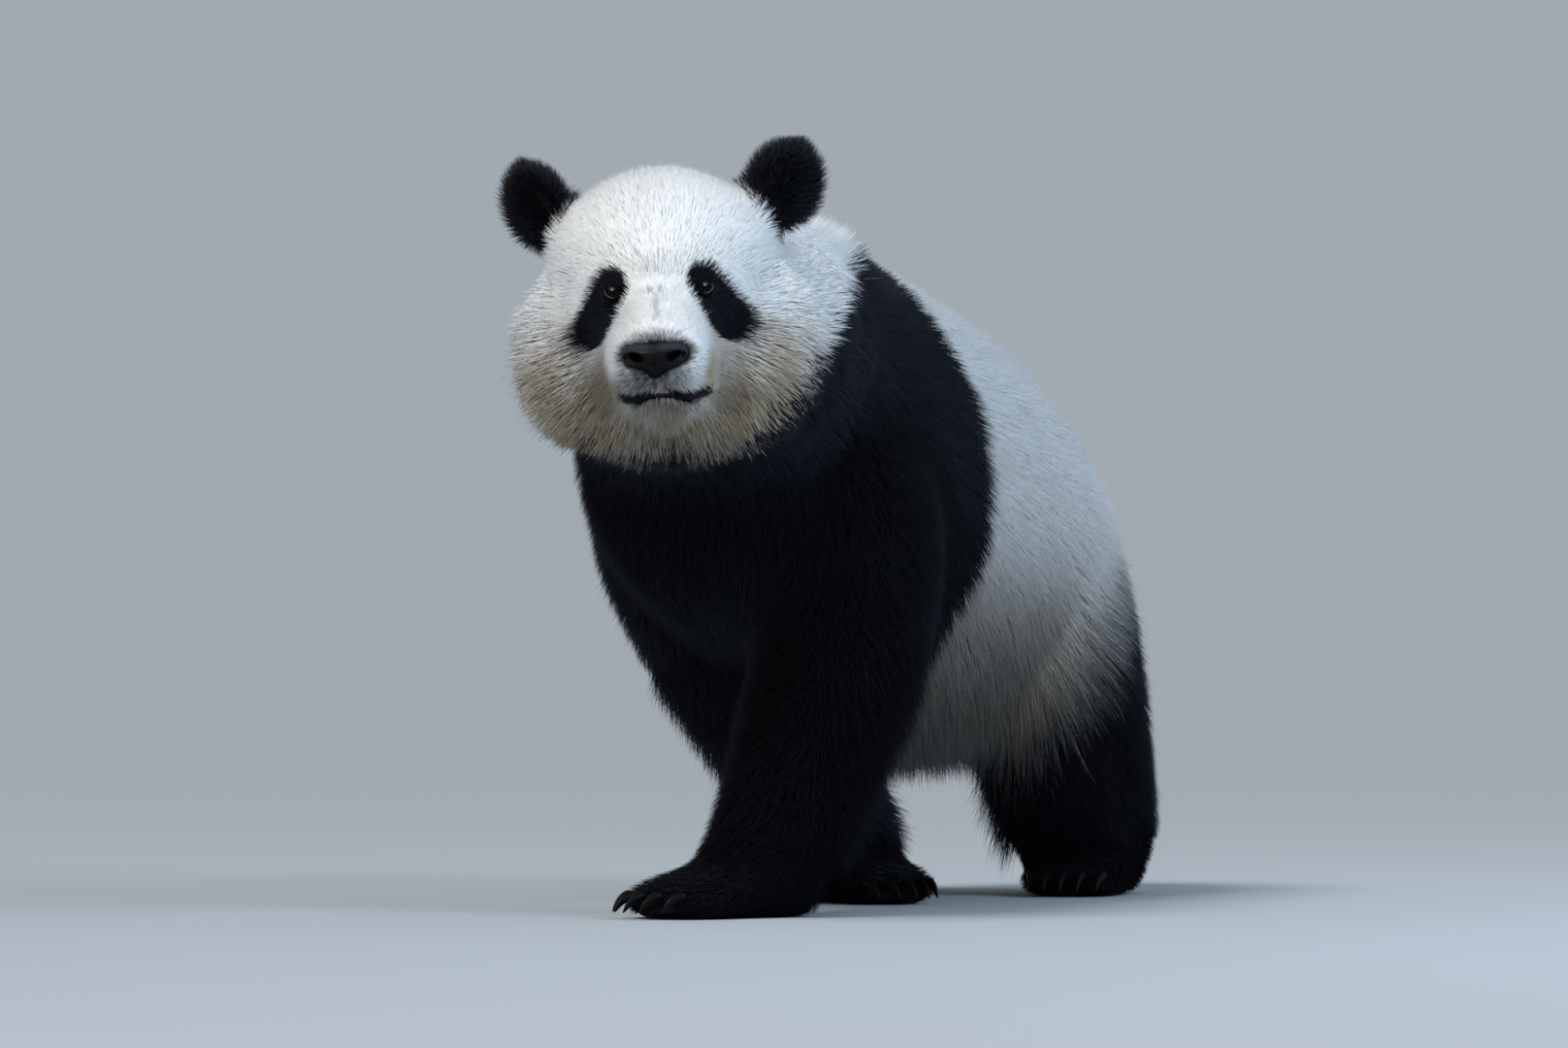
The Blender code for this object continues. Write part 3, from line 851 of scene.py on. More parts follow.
def stature(root, normal, depth, length, kinds, even, rng):
    """How long each lock is, how far it rises and reaches, which are stray and how far they droop."""
    count = len(root)
    hang = (kinds == "trunk") * ramp(0.2, 0.9, -normal[:, 2]) * (root[:, 1] > -0.15)
    front_edge = np.isin(kinds, ["thigh", "shank"]) * ramp(-0.1, 0.4, -normal[:, 1])
    rear_edge = (kinds == "forearm") * ramp(-0.1, 0.4, normal[:, 1])
    fringe = np.maximum(hang, np.maximum(front_edge, rear_edge))
    fringe = fringe + 0.35 * np.isin(kinds, ["head", "upper_arm", "forearm", "thigh", "shank"])
    fringe = fringe * (length > 0.018)
    length = length * (1 + 0.30 * fringe)
    ruff = about(root, NAPE, 0.052) * (kinds != "ear")
    outer = (kinds == "forearm") * ramp(0.1, 0.6, normal[:, 0] * np.sign(root[:, 0]))
    temple = about(to_head(root), TEMPLE, 0.045) * (kinds == "head")
    shag = 0.024 * front_edge + 0.013 * np.maximum(rear_edge, outer) + 0.010 * temple
    shag = shag * rng.uniform(0, 1, count) * fall(0.185, 0.215, np.abs(root[:, 0]))
    stray = rng.uniform(size=count) < 0.12 + 0.22 * fringe + 0.25 * hang

    rise = depth * (rng.uniform(0.68, 1.10, count) * (1 - even) + rng.uniform(0.92, 1.05, count) * even)
    rise = rise * (1 + 0.2 * ramp(0.008, 0.016, depth))
    base = np.minimum(*(np.linalg.norm(to_head(root) - EAR_BASE[side], axis=1) for side in EAR_BASE))
    brim = depth * rng.uniform(1.05, 1.30, count) * (0.45 + 0.55 * ramp(0.012, 0.032, base))
    rise = np.where(kinds == "ear", brim, rise)
    rise = rise * np.where(stray, 1.10 + 0.45 * fringe + 0.20 * even, 1.0)
    rise = rise + ruff * rng.uniform(0.024, 0.042, count) + shag
    length = length + ruff * 0.026 + shag * 1.2
    reach = np.sqrt(np.maximum(length ** 2 - rise ** 2, (0.5 * length) ** 2))
    reach = reach * np.where(stray, rng.uniform(0.45, 1.0, count), 1.0)
    return length, rise, reach, stray, hang, shag


def laid_over(tree, root, normal, lie, rise, reach, kinds):
    """The tip and the knee of each lock. Tips follow the skin where it curves away, but on the ears."""
    ahead = root + lie * reach[:, None]
    over, facing = nearest_on(tree, ahead + normal * (rise * 0.3)[:, None])
    steady = (dot(facing, normal) > 0.2) & (kinds != "ear")[:, None]
    over = np.where(steady, over, ahead)
    facing = np.where(steady, facing, normal)
    tip = over + unit(facing + normal * 0.5) * rise[:, None]
    knee = root + lie * (reach * 0.42)[:, None] + normal * (rise * 0.66)[:, None]
    return tip, knee


def gathered(root, tip, knee, stray, kinds, even, rng):
    """Draws each lock towards the nearest leader, so that the coat falls in wisps."""
    leaders = np.arange(0, len(root), LEADER_EVERY)
    tree = KDTree(len(leaders))
    for index in leaders:
        tree.insert(root[index], int(index))
    tree.balance()
    lead = np.array([tree.find(point)[1] for point in root])
    near = np.linalg.norm(root - root[lead], axis=1)
    pull = rng.uniform(0.10, 0.55, len(root)) * fall(0.008, 0.02, near) * ~stray
    pull = pull * np.where(kinds == "ear", 0.25, 1.0) * (1 - 0.85 * even)
    pull = pull[:, None]
    tip = tip * (1 - pull) + (tip[lead] + (root - root[lead]) * 0.25) * pull
    knee = knee * (1 - pull * 0.4) + (knee[lead] + (root - root[lead]) * 0.7) * pull * 0.4
    return tip, knee


def kept_in(tip, knee):
    """Holds the tips to the animal's own box, and all off the floor."""
    inside = np.clip(tip, *cad_box)
    tip = inside + (tip - inside) * BOX_GIVE
    tip[:, 2] = np.maximum(tip[:, 2], FLOOR_CLEARANCE)
    knee[:, 2] = np.maximum(knee[:, 2], 0.0015)
    return tip, knee


def lock_marks(root, tip, lie, length, labels, ear_share, rng):
    """The markings of each lock: mottled, ragged at their edges, black or not black."""
    count = len(root)
    marks = markings(root, labels)
    speck = (rng.uniform(size=count) - 0.5) * 2.8
    marks["grey_and_shade"] = np.clip(marks["grey_and_shade"] * (1 + speck * (1 - marks["grey_and_shade"])), 0, 1)
    jitter = root + lie * (rng.normal(0, 0.006, count) * np.minimum(length / 0.03, 1))[:, None]
    dark = (markings(jitter, labels)["dark"] > rng.uniform(0.04, 0.96, count)) * 1.0
    edge = (ear_share > 0.04) & (ear_share < 0.96)
    dark = np.where(edge, ear_share + rng.normal(0, 0.10, count) > 0.5, dark)
    seen = root * 0.3 + tip * 0.7 + rng.normal(0, 0.0035, (count, 3))
    marks["dark"] = np.maximum(dark, past_ruff(seen) * np.isin(KINDS[labels], ["head", "neck", "trunk"]))
    return marks


def grow_coat(skin):
    """Every lock of the coat, as arrays of the points that shape it."""
    chosen, weights = skin.grow_points()
    root = skin.at(skin.points, chosen, weights)
    keep = clear_of_features(root)
    chosen, weights, root = chosen[keep], weights[keep], root[keep]
    rng = np.random.default_rng(SEED + 1)
    normal = unit(skin.at(skin.normals, chosen, weights))
    lie = along_surface(skin.at(skin.lie, chosen, weights), normal)
    depth = skin.at(skin.depth, chosen, weights)
    length = skin.at(skin.length, chosen, weights) * rng.uniform(0.72, 1.12, len(root))
    length = np.maximum(length, depth * 1.35)
    labels = skin.labels[skin.triangles[chosen, 0]]
    kinds = KINDS[labels]
    masks = face_masks(to_head(root))
    even = np.maximum(masks["forehead"], masks["muzzle"]) * (kinds == "head")

    lie = turned(root, lie, normal, even, rng)
    length, rise, reach, stray, hang, shag = stature(root, normal, depth, length, kinds, even, rng)
    tip, knee = laid_over(skin.tree, root, normal, lie, rise, reach, kinds)
    tip, knee = gathered(root, tip, knee, stray, kinds, even, rng)
    tip[:, 2] -= hang * (0.6 + 0.4 * stray) * rng.uniform(0.006, 0.034, len(root)) + shag * 0.5
    tip, knee = kept_in(tip, knee)

    long = np.isin(kinds, ["head", "neck"]) & (length > 0.030)
    width = np.clip(length * 0.024, 0.00030, 0.00085) * rng.uniform(0.75, 1.3, len(root))
    width = np.where(long, width * 0.72, width)
    width = np.where(stray, width * 0.7, width * (1 + 0.5 * even))
    shade = (rng.normal(0, 1, len(root)) * 0.5 + ripple(root, 0.012, 13) * 0.6) * (1 - 0.6 * even)
    shade = shade + masks["muzzle"] * ripple(root, 0.006, 14) * 0.9
    marks = lock_marks(root, tip, lie, length, labels, skin.at(skin.ear, chosen, weights), rng)
    uv = (skin.uv[skin.loops[chosen]] * weights[:, :, None]).sum(1)
    return {"root": root - normal * ROOT_SUNK, "knee": knee, "tip": tip, "normal": normal,
            "width": width, "shade": shade, "uv": uv, "kinds": kinds, "long": long, **marks}


# The faces of a lock, its patch on the unwrap and how near the tip each corner is.
LONG_LOCK = np.array(((0, 1, 2), (0, 2, 3), (0, 3, 1), (4, 2, 1), (4, 3, 2), (4, 1, 3)))
LONG_PATCH = np.array(((0, -0.5), (-0.5, 0), (0.5, 0), (0, 0), (0, 0.5))) * PATCH
LONG_TIPS = np.array((0.0, 0.45, 0.45, 0.45, 1.0))
SHORT_LOCK = np.array(((0, 1, 2), (3, 1, 0), (3, 2, 1), (3, 0, 2)))
SHORT_PATCH = np.array(((-0.5, -0.5), (0.5, -0.5), (0, -0.5), (0, 0.5))) * PATCH
SHORT_TIPS = np.array((0.1, 0.1, 0.1, 1.0))


def lock_corners(pick, long):
    """The corners of closed slim locks. A long one bends at a knee, a short one runs straight."""
    run = unit(pick["tip"] - pick["root"])
    side = unit(np.cross(run, pick["normal"])) * pick["width"][:, None]
    up = unit(np.cross(side, run)) * (pick["width"] * 0.8)[:, None]
    if long:
        corners = (pick["root"], pick["knee"] - side, pick["knee"] + side, pick["knee"] + up, pick["tip"])
    else:
        corners = (pick["root"] - side, pick["root"] + side, pick["root"] + up, pick["tip"])
    return np.stack(corners, 1).reshape(-1, 3)


def lock_mesh(name, locks, chosen):
    """One piece of the coat: its long locks, then its short ones."""
    points, faces, tips, spread, flat = [], [], [], [], []
    start = 0
    for long, pattern, patch, ends in ((True, LONG_LOCK, LONG_PATCH, LONG_TIPS),
                                       (False, SHORT_LOCK, SHORT_PATCH, SHORT_TIPS)):
        some = chosen[locks["long"][chosen] == long]
        pick = {key: value[some] for key, value in locks.items()}
        points.append(lock_corners(pick, long))
        faces.append((np.arange(len(some))[:, None, None] * len(ends) + pattern + start).reshape(-1, 3))
        start += len(some) * len(ends)
        tips.append(np.tile(ends, len(some)))
        spread.append(np.repeat(some, len(ends)))
        flat.append((pick["uv"][:, None, :] + patch[pattern.ravel()]).reshape(-1, 2))
    points = np.concatenate(points)
    points[:, 2] = np.maximum(points[:, 2], FLOOR_CLEARANCE)
    mesh = mesh_of(name, points, np.concatenate(faces))
    spread = np.concatenate(spread)
    write_values(mesh, tip=np.concatenate(tips),
                 **{key: locks[key][spread] for key in ("dark", "cream", "grey_and_shade", "pink", "shade")})
    layer = mesh.uv_layers.new(name="OFBake")
    fill(layer.uv, "vector", np.clip(np.concatenate(flat), 0.0005, 0.9995))
    return mesh


def dress(locks):
    """Splits the coat into pieces of one colour and region, each of a handy size."""
    black = locks["dark"] > 0.5
    for region, members in REGIONS.items():
        for colour, wanted in (("black", black), ("white", ~black)):
            found = np.flatnonzero(np.isin(locks["kinds"], members) & wanted)
            if not len(found):
                continue
            found = found[np.argsort(locks["root"][found, 1], kind="stable")]
            triangles = np.where(locks["long"][found], len(LONG_LOCK), len(SHORT_LOCK)).sum()
            parts = math.ceil(triangles / PIECE_TRIANGLES)
            for number, chosen in enumerate(np.array_split(found, parts), 1):
                name = f"coat_{colour}_{region}" + (f"_{number}" if parts > 1 else "")
                add_piece(name, lock_mesh(name, locks, chosen), COAT_FINISH[colour])


# ---------------------------------------------------------------- finishes

class Wire:
    """A shader value that takes part in sums written in Python."""

    def __init__(self, finish, socket):
        self.finish = finish
        self.socket = socket

    def sum(self, operation, *values):
        return self.finish.node("ShaderNodeMath", {"operation": operation}, dict(enumerate(values)))

    def __add__(self, other):
        return self.sum("ADD", self, other)

    __radd__ = __add__

    def __sub__(self, other):
        return self.sum("SUBTRACT", self, other)

    def __rsub__(self, other):
        return self.sum("SUBTRACT", other, self)

    def __mul__(self, other):
        return self.sum("MULTIPLY", self, other)

    __rmul__ = __mul__

    def __pow__(self, other):
        return self.sum("POWER", self, other)


class Finish:
    """One material, built from nodes."""

    def __init__(self, name, **constants):
        self.material = bpy.data.materials.new(name)
        self.material.use_nodes = True
        self.tree = self.material.node_tree
        self.shader = self.tree.nodes["Principled BSDF"]
        for socket, value in constants.items():
            self.shader.inputs[socket.replace("_", " ")].default_value = value

    def node(self, kind, settings=None, inputs=None, output=0):
        made = self.tree.nodes.new(kind)
        for name, value in (settings or {}).items():
            setattr(made, name, value)
        for name, value in (inputs or {}).items():
            self.feed(made.inputs[name], value)
        return Wire(self, made.outputs[output])

    def feed(self, socket, value):
        if isinstance(value, Wire):
            self.tree.links.new(value.socket, socket)
        else:
            socket.default_value = value

    def set(self, name, value):
        self.feed(self.shader.inputs[name], value)

    def value_of(self, name):
        return self.node("ShaderNodeAttribute", {"attribute_name": name}, output="Fac")

    def place(self):
        return self.node("ShaderNodeTexCoord", output="Object")

    def distance_to(self, place):
        return self.node("ShaderNodeVectorMath", {"operation": "DISTANCE"},
                         {0: self.place(), 1: tuple(place)}, output="Value")

    def noise(self, scale, detail, stretch=(1, 1, 1)):
        at = self.node("ShaderNodeMapping", {}, {"Vector": self.place(), "Scale": stretch})
        return self.node("ShaderNodeTexNoise", {}, {"Vector": at, "Scale": scale, "Detail": detail,
                                                    "Roughness": 0.55})

    def blend(self, first, second, share):
        return self.node("ShaderNodeMix", {"data_type": "RGBA", "clamp_factor": True},
                         {0: share, 6: first, 7: second}, output=2)

    def brighten(self, colour, amount):
        scale = self.node("ShaderNodeCombineXYZ", {}, {0: amount, 1: amount, 2: amount})
        return self.node("ShaderNodeVectorMath", {"operation": "MULTIPLY"}, {0: colour, 1: scale})

    def stepped(self, value, low, high):
        return self.node("ShaderNodeMapRange", {"interpolation_type": "SMOOTHSTEP"},
                         {"Value": value, "From Min": low, "From Max": high})

    def rough_bump(self, height, strength, distance):
        self.set("Normal", self.node("ShaderNodeBump", {}, {"Height": height, "Strength": strength,
                                                             "Distance": distance}))


def coat_colour(finish, tip, shade):
    """The panda's markings, read from what the markings function wrote on the mesh, with painted shade
    darkening the roots and a painted sheen on the black tips.
    """
    # Pale hair is darker at the root than at the tip: painted shade deep in the coat.
    white = finish.blend((0.82, 0.815, 0.80, 1), (0.93, 0.935, 0.94, 1), tip)
    cream = finish.blend((0.22, 0.155, 0.088, 1), (0.56, 0.45, 0.30, 1), tip)
    pale = finish.blend(white, cream, finish.value_of("cream"))
    # This mark greys the hair: partly its own grey, partly painted shade.
    pale = finish.blend(pale, (0.026, 0.026, 0.029, 1), finish.value_of("grey_and_shade") * 0.95)
    pale = finish.blend(pale, (0.30, 0.16, 0.145, 1), finish.value_of("pink") * 0.85)
    pale = finish.brighten(pale, 1 + shade * 0.07)
    # Black hair is paler and bluish at the tip: a painted sheen.
    black = finish.blend((0.0012, 0.0012, 0.0016, 1), (0.0042, 0.0048, 0.0075, 1), tip)
    black = finish.brighten(black, 1 + shade * 0.30)
    return finish.blend(pale, black, finish.value_of("dark"))


def coat_finish(colour, roughness, **constants):
    finish = Finish(f"coat_{colour}", **constants)
    shade = finish.value_of("shade")
    finish.set("Base Color", coat_colour(finish, finish.value_of("tip"), shade))
    finish.set("Roughness", roughness + 0.05 * shade)
    return finish.material


def skin_finish():
    finish = Finish("skin", Roughness=0.85, Specular_IOR_Level=0.04)
    fuzz = finish.noise(420.0, 3.0)
    finish.set("Base Color", coat_colour(finish, fuzz * 0.5, fuzz - 0.5))
    finish.rough_bump(fuzz, 0.5, 0.0008)
    return finish.material


def claw_finish():
    finish = Finish("claw", Roughness=0.45, Specular_IOR_Level=0.08)
    streaks = finish.noise(260.0, 4.0, (1, 1, 0.25))
    finish.set("Base Color", finish.blend((0.001, 0.001, 0.001, 1), (0.005, 0.0047, 0.0045, 1), streaks ** 2))
    finish.set("Roughness", 0.38 + 0.25 * streaks)
    finish.rough_bump(streaks, 0.25, 0.0004)
    return finish.material


COAT_FINISH = {
    "white": coat_finish("white", 0.75, Specular_IOR_Level=0.3, Sheen_Weight=0.25, Sheen_Roughness=0.5),
    "black": coat_finish("black", 0.5, Specular_IOR_Level=0.13, Sheen_Weight=0.03, Sheen_Roughness=0.4,
                         Sheen_Tint=(0.45, 0.60, 1.0, 1)),
}


# ---------------------------------------------------------------- eyes, nose, lips, claws

def eye_finish(side):
    """A dark glossy ball with a pupil and a brown iris. Its gloss is a painted highlight: a fixed patch, high
    on its front, carries most of the coat.
    """
    finish = Finish(f"eye_{side}", Roughness=0.3, Specular_IOR_Level=0.0, Coat_Roughness=0.06,
                    Coat_IOR=1.8)
    gaze = -HEAD_AXES[1]
    from_pupil = finish.distance_to(EYES[side] + gaze * EYE_RADIUS)
    from_glint = finish.distance_to(EYES[side] + unit(gaze + 0.30 * HEAD_AXES[2]) * EYE_RADIUS)
    # Painted highlight: the coat is heavy only in a fixed patch about the glint.
    finish.set("Coat Weight", 0.75 - 0.67 * finish.stepped(from_glint, 0.0018, 0.0044))
    iris = finish.blend((0.001, 0.0006, 0.0005, 1), (0.006, 0.003, 0.002, 1), finish.noise(900.0, 3.0))
    inner = finish.blend((0.0004, 0.0004, 0.0004, 1), iris, finish.stepped(from_pupil, 0.0024, 0.0028))
    white = finish.stepped(from_pupil, 0.0062, 0.0072)
    finish.set("Base Color", finish.blend(inner, (0.003, 0.0025, 0.0025, 1), white))
    return finish.material


def build_eye(side):
    ball = bmesh.new()
    bmesh.ops.create_uvsphere(ball, u_segments=48, v_segments=32, radius=EYE_RADIUS)
    mesh = mesh_from(ball, f"eyeball_{side}")
    mesh.transform(Matrix.Translation(Vector(EYES[side])))
    mesh.shade_smooth()
    add_piece(f"eyeball_{side}", mesh, eye_finish(side), [f"eye_{side}"])


def hoops(path, side, out, radii, sides):
    """A ring of points round each place of a path, spread along its side and out directions."""
    turn = np.linspace(0, 2 * math.pi, sides, endpoint=False)[None, :, None]
    ring = np.cos(turn) * side[:, None] + np.sin(turn) * out[:, None]
    return path[:, None] + ring * radii[:, None, None]


def tube_mesh(name, rings, closed=False):
    """Joins rings of points. An open run is closed by a fan at each end."""
    rows, sides, _ = rings.shape
    work = bmesh.new()
    corners = [[work.verts.new(p) for p in row] for row in rings]
    last = rows if closed else rows - 1
    for row in range(last):
        here, there = corners[row], corners[(row + 1) % rows]
        for k in range(sides):
            work.faces.new((here[k], here[(k + 1) % sides], there[(k + 1) % sides], there[k]))
    if not closed:
        work.faces.new(corners[0])
        work.faces.new(corners[-1])
    bmesh.ops.recalc_face_normals(work, faces=work.faces)
    mesh = mesh_from(work, name)
    mesh.shade_smooth()
    return mesh


def lid_finish():
    finish = Finish("lid", Roughness=0.5, Specular_IOR_Level=0.06)
    low = finish.value_of("low")
    finish.set("Base Color", finish.blend((0.0018, 0.0018, 0.0022, 1), (0.075, 0.060, 0.070, 1), low))
    finish.rough_bump(finish.noise(1500.0, 3.0), 0.3, 0.0002)
    return finish.material


def build_lids(side, finish):
    """The rim of the lids: a ring that lies on the ball round the opening, paler below."""
    sign = 1 if side == "left" else -1
    turn = np.linspace(0, 2 * math.pi, 72, endpoint=False)
    u = EYE_OPEN[0] * np.cos(turn)
    v = np.where(np.sin(turn) > 0, EYE_OPEN[1], EYE_OPEN[2]) * np.sin(turn)
    x = (u * EYE_SLANT[0] - v * EYE_SLANT[1]) * sign
    z = u * EYE_SLANT[1] + v * EYE_SLANT[0]
    reach = EYE_RADIUS + 0.0002
    path = np.stack((x, -np.sqrt(reach ** 2 - x ** 2 - z ** 2), z), 1)
    out = unit(path)
    wide = np.cross(unit(np.roll(path, -1, 0) - np.roll(path, 1, 0)), out)
    sides = 12
    lower = ramp(0.45, 0.95, (-v / EYE_OPEN[2]) * 0.85 + (u / EYE_OPEN[0]) * 0.45)
    thick = 0.0006 + 0.0006 * (1 - lower)
    rings = hoops(path, wide * 1.25, out, thick, sides) + (sign * EYE_APART, 0, 0)
    mesh = tube_mesh(f"lids_{side}", from_head(rings), closed=True)
    write_values(mesh, low=np.repeat(lower, sides))
    add_piece(f"lids_{side}", mesh, finish)


def on_face(tree, x, z):
    """The point of the skin straight ahead of a place in the head's x and z."""
    return np.array(tree.ray_cast(from_head((x, -0.25, z)), HEAD_AXES[1])[0])


def lip_finish():
    finish = Finish("lip", Roughness=0.5, Specular_IOR_Level=0.08)
    finish.set("Base Color", finish.blend((0.0018, 0.0016, 0.0016, 1), (0.05, 0.022, 0.020, 1),
                                          finish.value_of("pink")))
    finish.rough_bump(finish.noise(900.0, 3.0), 0.3, 0.0003)
    return finish.material


def build_lips(tree):
    """The dark rim of the mouth, thicker towards its corners."""
    at = np.linspace(-0.0475, 0.0515, 69)
    height = np.convolve(np.pad(mouth_line(at), 4, mode="edge"), np.ones(9) / 9, mode="valid")
    path = np.array([on_face(tree, x, z) for x, z in zip(at, height)])
    for _ in range(6):
        path[1:-1] = (path[:-2] + 2 * path[1:-1] + path[2:]) / 4
    radii = 0.0014 + 0.0026 * bump(beside_mouth(at), 0.033, 0.022)
    radii *= np.sqrt(np.clip((0.0500 - np.abs(at - 0.002)) / 0.012, 0.02, 1))
    ahead = unit(np.gradient(path, axis=0))
    out = unit(np.cross(ahead, np.cross(-HEAD_AXES[1], ahead)))
    sides = 14
    rings = hoops(path - HEAD_AXES[1] * 0.0008, np.cross(ahead, out), 0.8 * out, radii, sides)
    mesh = tube_mesh("lips", rings)
    write_values(mesh, pink=np.repeat(bump(at, MIDLINE + 0.003, 0.015), sides))
    add_piece("lips", mesh, lip_finish())


def nose_finish():
    finish = Finish("nose_leather", Roughness=0.4, Specular_IOR_Level=0.09, Coat_Roughness=0.22)
    pebbles = finish.node("ShaderNodeTexVoronoi", {"feature": "SMOOTH_F1"},
                          {"Vector": finish.place(), "Scale": 750.0}, output="Distance")
    wear = finish.noise(120.0, 4.0)
    leather = finish.blend((0.0014, 0.0014, 0.0017, 1), (0.0032, 0.0032, 0.004, 1), wear)
    # Painted sheen: the upper plane of the leather is paler and bluish.
    leather = finish.blend(leather, (0.012, 0.014, 0.020, 1), finish.value_of("top"))
    # Painted shade: the nostril hollows are darker, and rougher, with little coat.
    deep = finish.value_of("deep")
    finish.set("Base Color", finish.blend(leather, (0.0006, 0.0005, 0.0005, 1), deep))
    finish.set("Roughness", 0.36 + 0.2 * wear + 0.5 * deep)
    finish.set("Coat Weight", 0.12 * wear * (1 - deep))
    finish.rough_bump(pebbles, 0.75, 0.0009)
    return finish.material


def nose_edge():
    """The outline of the nose leather as evenly spaced points about its middle, corners rounded."""
    heights, halves = np.array(NOSE_OUTLINE).T
    right = np.stack((halves, heights), 1)
    outline = np.concatenate((right, right[-2:0:-1] * (-1, 1)))
    outline = np.concatenate((outline, outline[:1]))
    step = np.concatenate(([0], np.cumsum(np.linalg.norm(np.diff(outline, axis=0), axis=1))))
    around = np.linspace(0, step[-1], 180, endpoint=False)
    edge = np.stack([np.interp(around, step, outline[:, k]) for k in (0, 1)], 1)
    for _ in range(8):
        edge = (np.roll(edge, 1, 0) + 2 * edge + np.roll(edge, -1, 0)) / 4
    return edge


def build_nose():
    """The bare nose: a crowned pad, flat on top, with comma nostrils and a groove below."""
    edge = nose_edge()
    hub = np.array((0, 0.0005))
    inward = np.linspace(0, 1, 64) ** 0.85 * 0.985
    flat = hub + (edge - hub) * (1 - inward)[:, None, None]
    x, z = flat[..., 0], flat[..., 1]
    wide = np.abs(x)
    dome = (1 - (1 - inward) ** 3.2)[:, None] ** 0.5
    dome = np.broadcast_to(dome, x.shape)
    y = -0.079 - 0.0275 * dome
    y += 0.012 * ramp(0.003, 0.018, z) * dome
    y += 0.004 * ramp(-0.004, -0.018, z) * dome
    y += 0.007 * (wide / 0.034) ** 2 * dome

    # Each nostril is a slanted oval hollow with a raised lower rim and a slit at its outer end.
    out, up = wide - 0.0188, z - 0.0004
    u = (out * 0.89 + up * 0.45) / 0.0098
    v = (up * 0.89 - out * 0.45) / (0.0046 - 0.0008 * np.clip(u, -1, 1))
    oval = np.hypot(u, v)
    y += 0.0110 * fall(0.50, 1.04, oval)
    y -= 0.0012 * bump(oval, 1.28, 0.34) * ramp(0.3, -0.5, v)
    slit = np.hypot((wide - 0.0285) / 0.0030, (z - 0.0015) / 0.0050)
    y += 0.0030 * fall(0.3, 1.1, slit)
    y += 0.0016 * bump(x, 0, 0.0016) * ramp(0.002, -0.008, z)

    front = np.stack((x + NOSE_MIDDLE[0], y, z + NOSE_MIDDLE[1]), 2)
    back = front[:1].copy()
    back[..., 1] = -0.066
    mesh = tube_mesh("nose_pad", from_head(np.concatenate((back, front))))
    # The nostril hollows, which the finish darkens as painted shade, and the upper plane, which it paints
    # with a pale bluish sheen.
    deep = fall(0.55, 1.0, np.minimum(oval, slit + 0.25))
    top = ramp(0.0035, 0.0075, z) * ramp(0.002, 0.009, wide) * (1 - deep)
    plain = np.zeros(len(edge))
    write_values(mesh, deep=np.concatenate((plain, deep.ravel())), top=np.concatenate((plain, top.ravel())))
    add_piece("nose_pad", mesh, nose_finish(), ["nose"])


def build_claws(paw, finish):
    """The five claws of a paw, made smooth from the frame's own."""
    joined = bmesh.new()
    nodes = [f"{paw}_claw_{number}" for number in range(1, 6)]
    for node in nodes:
        joined.from_mesh(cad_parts[node].data)
    bmesh.ops.remove_doubles(joined, verts=joined.verts, dist=1e-5)
    bmesh.ops.recalc_face_normals(joined, faces=joined.faces)
    mesh = with_modifier(mesh_from(joined, f"claws_{paw}"), "SUBSURF", levels=2, render_levels=2)
    mesh.shade_smooth()
    add_piece(f"claws_{paw}", mesh, finish, nodes)


# ---------------------------------------------------------------- camera, floor and light

def aimed(name, data, place, ahead):
    """Puts a camera or a light in the scene and turns it to look ahead."""
    holder = put_in(name, data)
    holder.location = place
    holder.rotation_euler = Vector(ahead).to_track_quat("-Z", "Y").to_euler()
    return holder


def look_from(place, ahead, lens):
    data = bpy.data.cameras.new("camera")
    data.lens = lens
    data.sensor_width = 36.0
    data.clip_end = 60.0
    bpy.context.scene.camera = aimed("camera", data, place, ahead)


def lamp(name, place, aim, size, power, tint):
    data = bpy.data.lights.new(name, "AREA")
    data.shape = "DISK"
    data.size = size
    data.energy = power
    data.color = tint
    aimed(name, data, place, Vector(aim) - Vector(place))


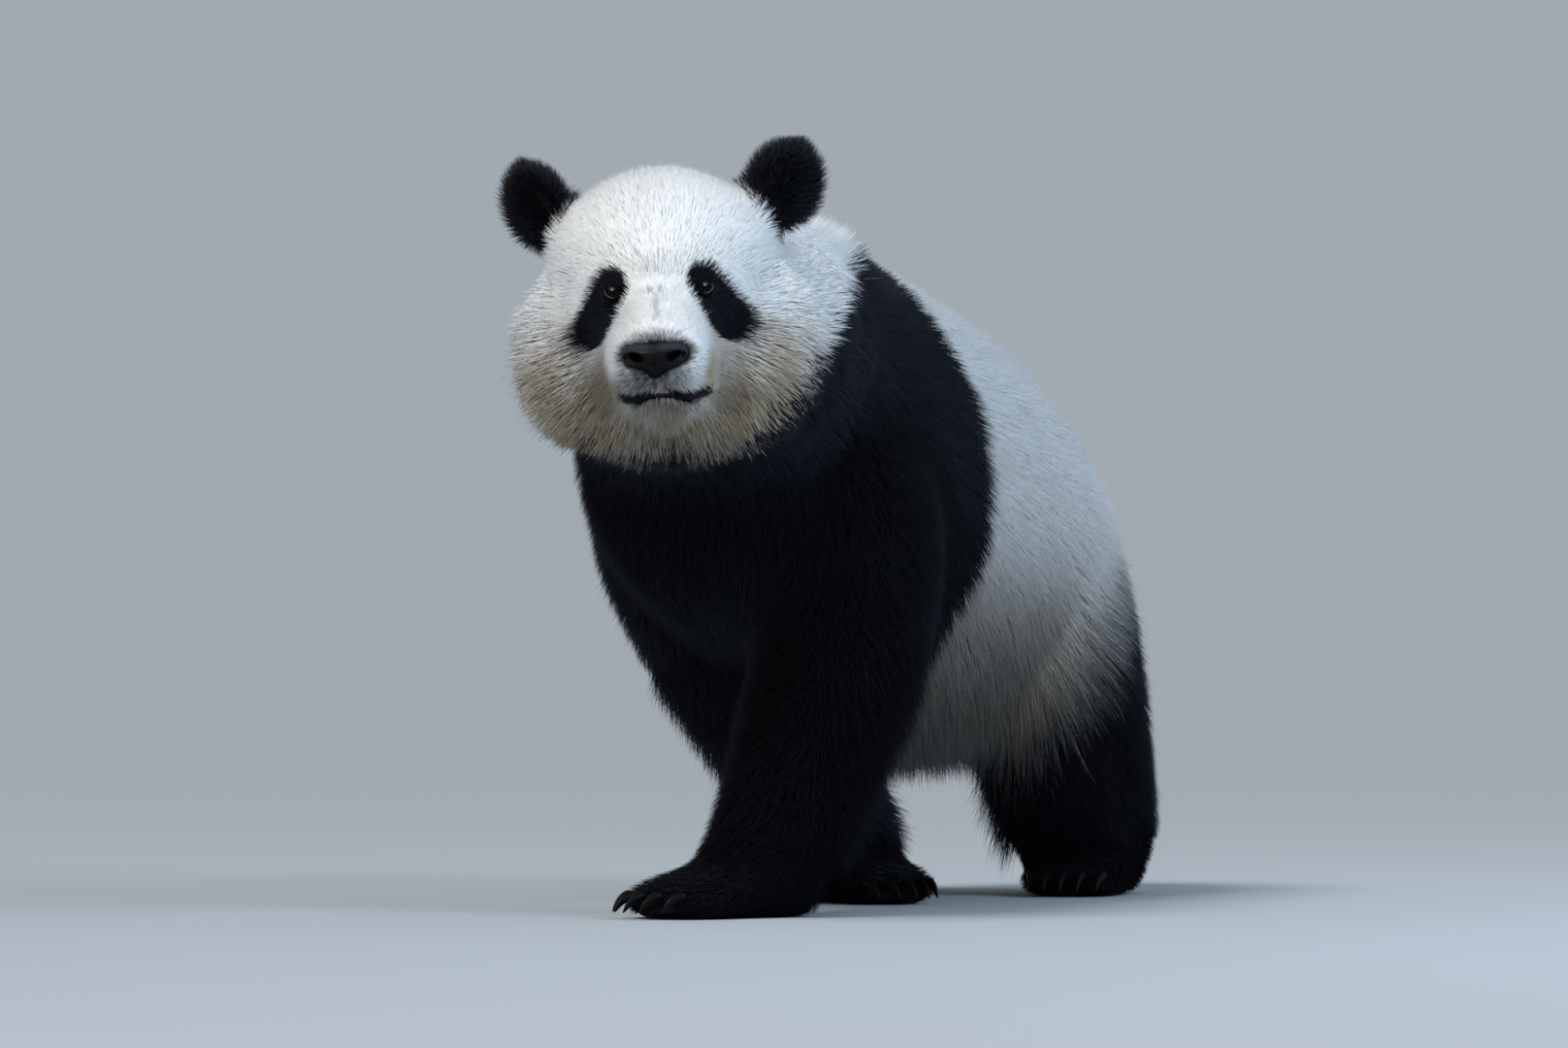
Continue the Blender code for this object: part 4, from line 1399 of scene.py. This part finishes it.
def build_floor():
    finish = Finish("studio_floor", Roughness=0.9, Specular_IOR_Level=0.1)
    grain = finish.noise(6.0, 3.0)
    finish.set("Base Color", finish.blend((0.360, 0.387, 0.415, 1), (0.368, 0.395, 0.423, 1), grain))
    work = bmesh.new()
    bmesh.ops.create_grid(work, x_segments=4, y_segments=4, size=30.0)
    mesh = mesh_from(work, "floor")
    mesh.transform(Matrix.Translation((0, 0, -0.0005)))
    mesh.materials.append(finish.material)
    floor = put_in("floor", mesh)


def build_lights():
    """A pale cool surround, a broad sun from above, and two soft lamps."""
    world = bpy.data.worlds.new("studio")
    world.use_nodes = True
    surround = world.node_tree.nodes["Background"]
    surround.inputs["Color"].default_value = (0.82, 0.91, 1.0, 1)
    surround.inputs["Strength"].default_value = 0.44
    bpy.context.scene.world = world
    sky = bpy.data.lights.new("sky", "SUN")
    sky.energy = 2.3
    sky.angle = math.radians(22)
    sky.color = (1.0, 0.99, 0.97)
    aimed("sky", sky, (0, 0, 0), (0.30, 0.55, -1.0))
    lamp("key", (0.9, -4.6, 2.3), (0, -0.3, 0.45), 2.3, 32, (1.0, 0.99, 0.97))
    lamp("side", (3.4, -0.4, 2.2), (0, 0, 0.5), 1.8, 84, (0.60, 0.79, 1.0))
    settings = bpy.context.scene.view_settings
    settings.view_transform = "Standard"
    settings.look = "None"
    settings.exposure = 0.0


TOWARDS = np.array((-0.375, 0.927, 0.0))
ACROSS = np.array((0.927, 0.375, 0.0))
UPWARDS = np.array((0, 0, 1.0))
look_from((2.6958, -6.8435, 0.25), TOWARDS + 0.00402 * ACROSS + 0.02228 * UPWARDS, 155.0)
build_floor()
build_lights()

skin_mesh, outline = bare_skin()
skin = Skin(shape_face(skin_mesh), outline)
skin.unwrap()
write_values(skin_mesh, **shadow_lips(skin.points, markings(skin.points, skin.labels)))
skin_mesh.shade_smooth()
add_piece("skin", skin_mesh, skin_finish(), FLESH)
dress(grow_coat(skin))
lids = lid_finish()
for side in SIDES:
    build_eye(side)
    build_lids(side, lids)
build_lips(skin.tree)
build_nose()
claws = claw_finish()
for paw in ("forepaw", "hindpaw"):
    for side in SIDES:
        build_claws(f"{paw}_{side}", claws)
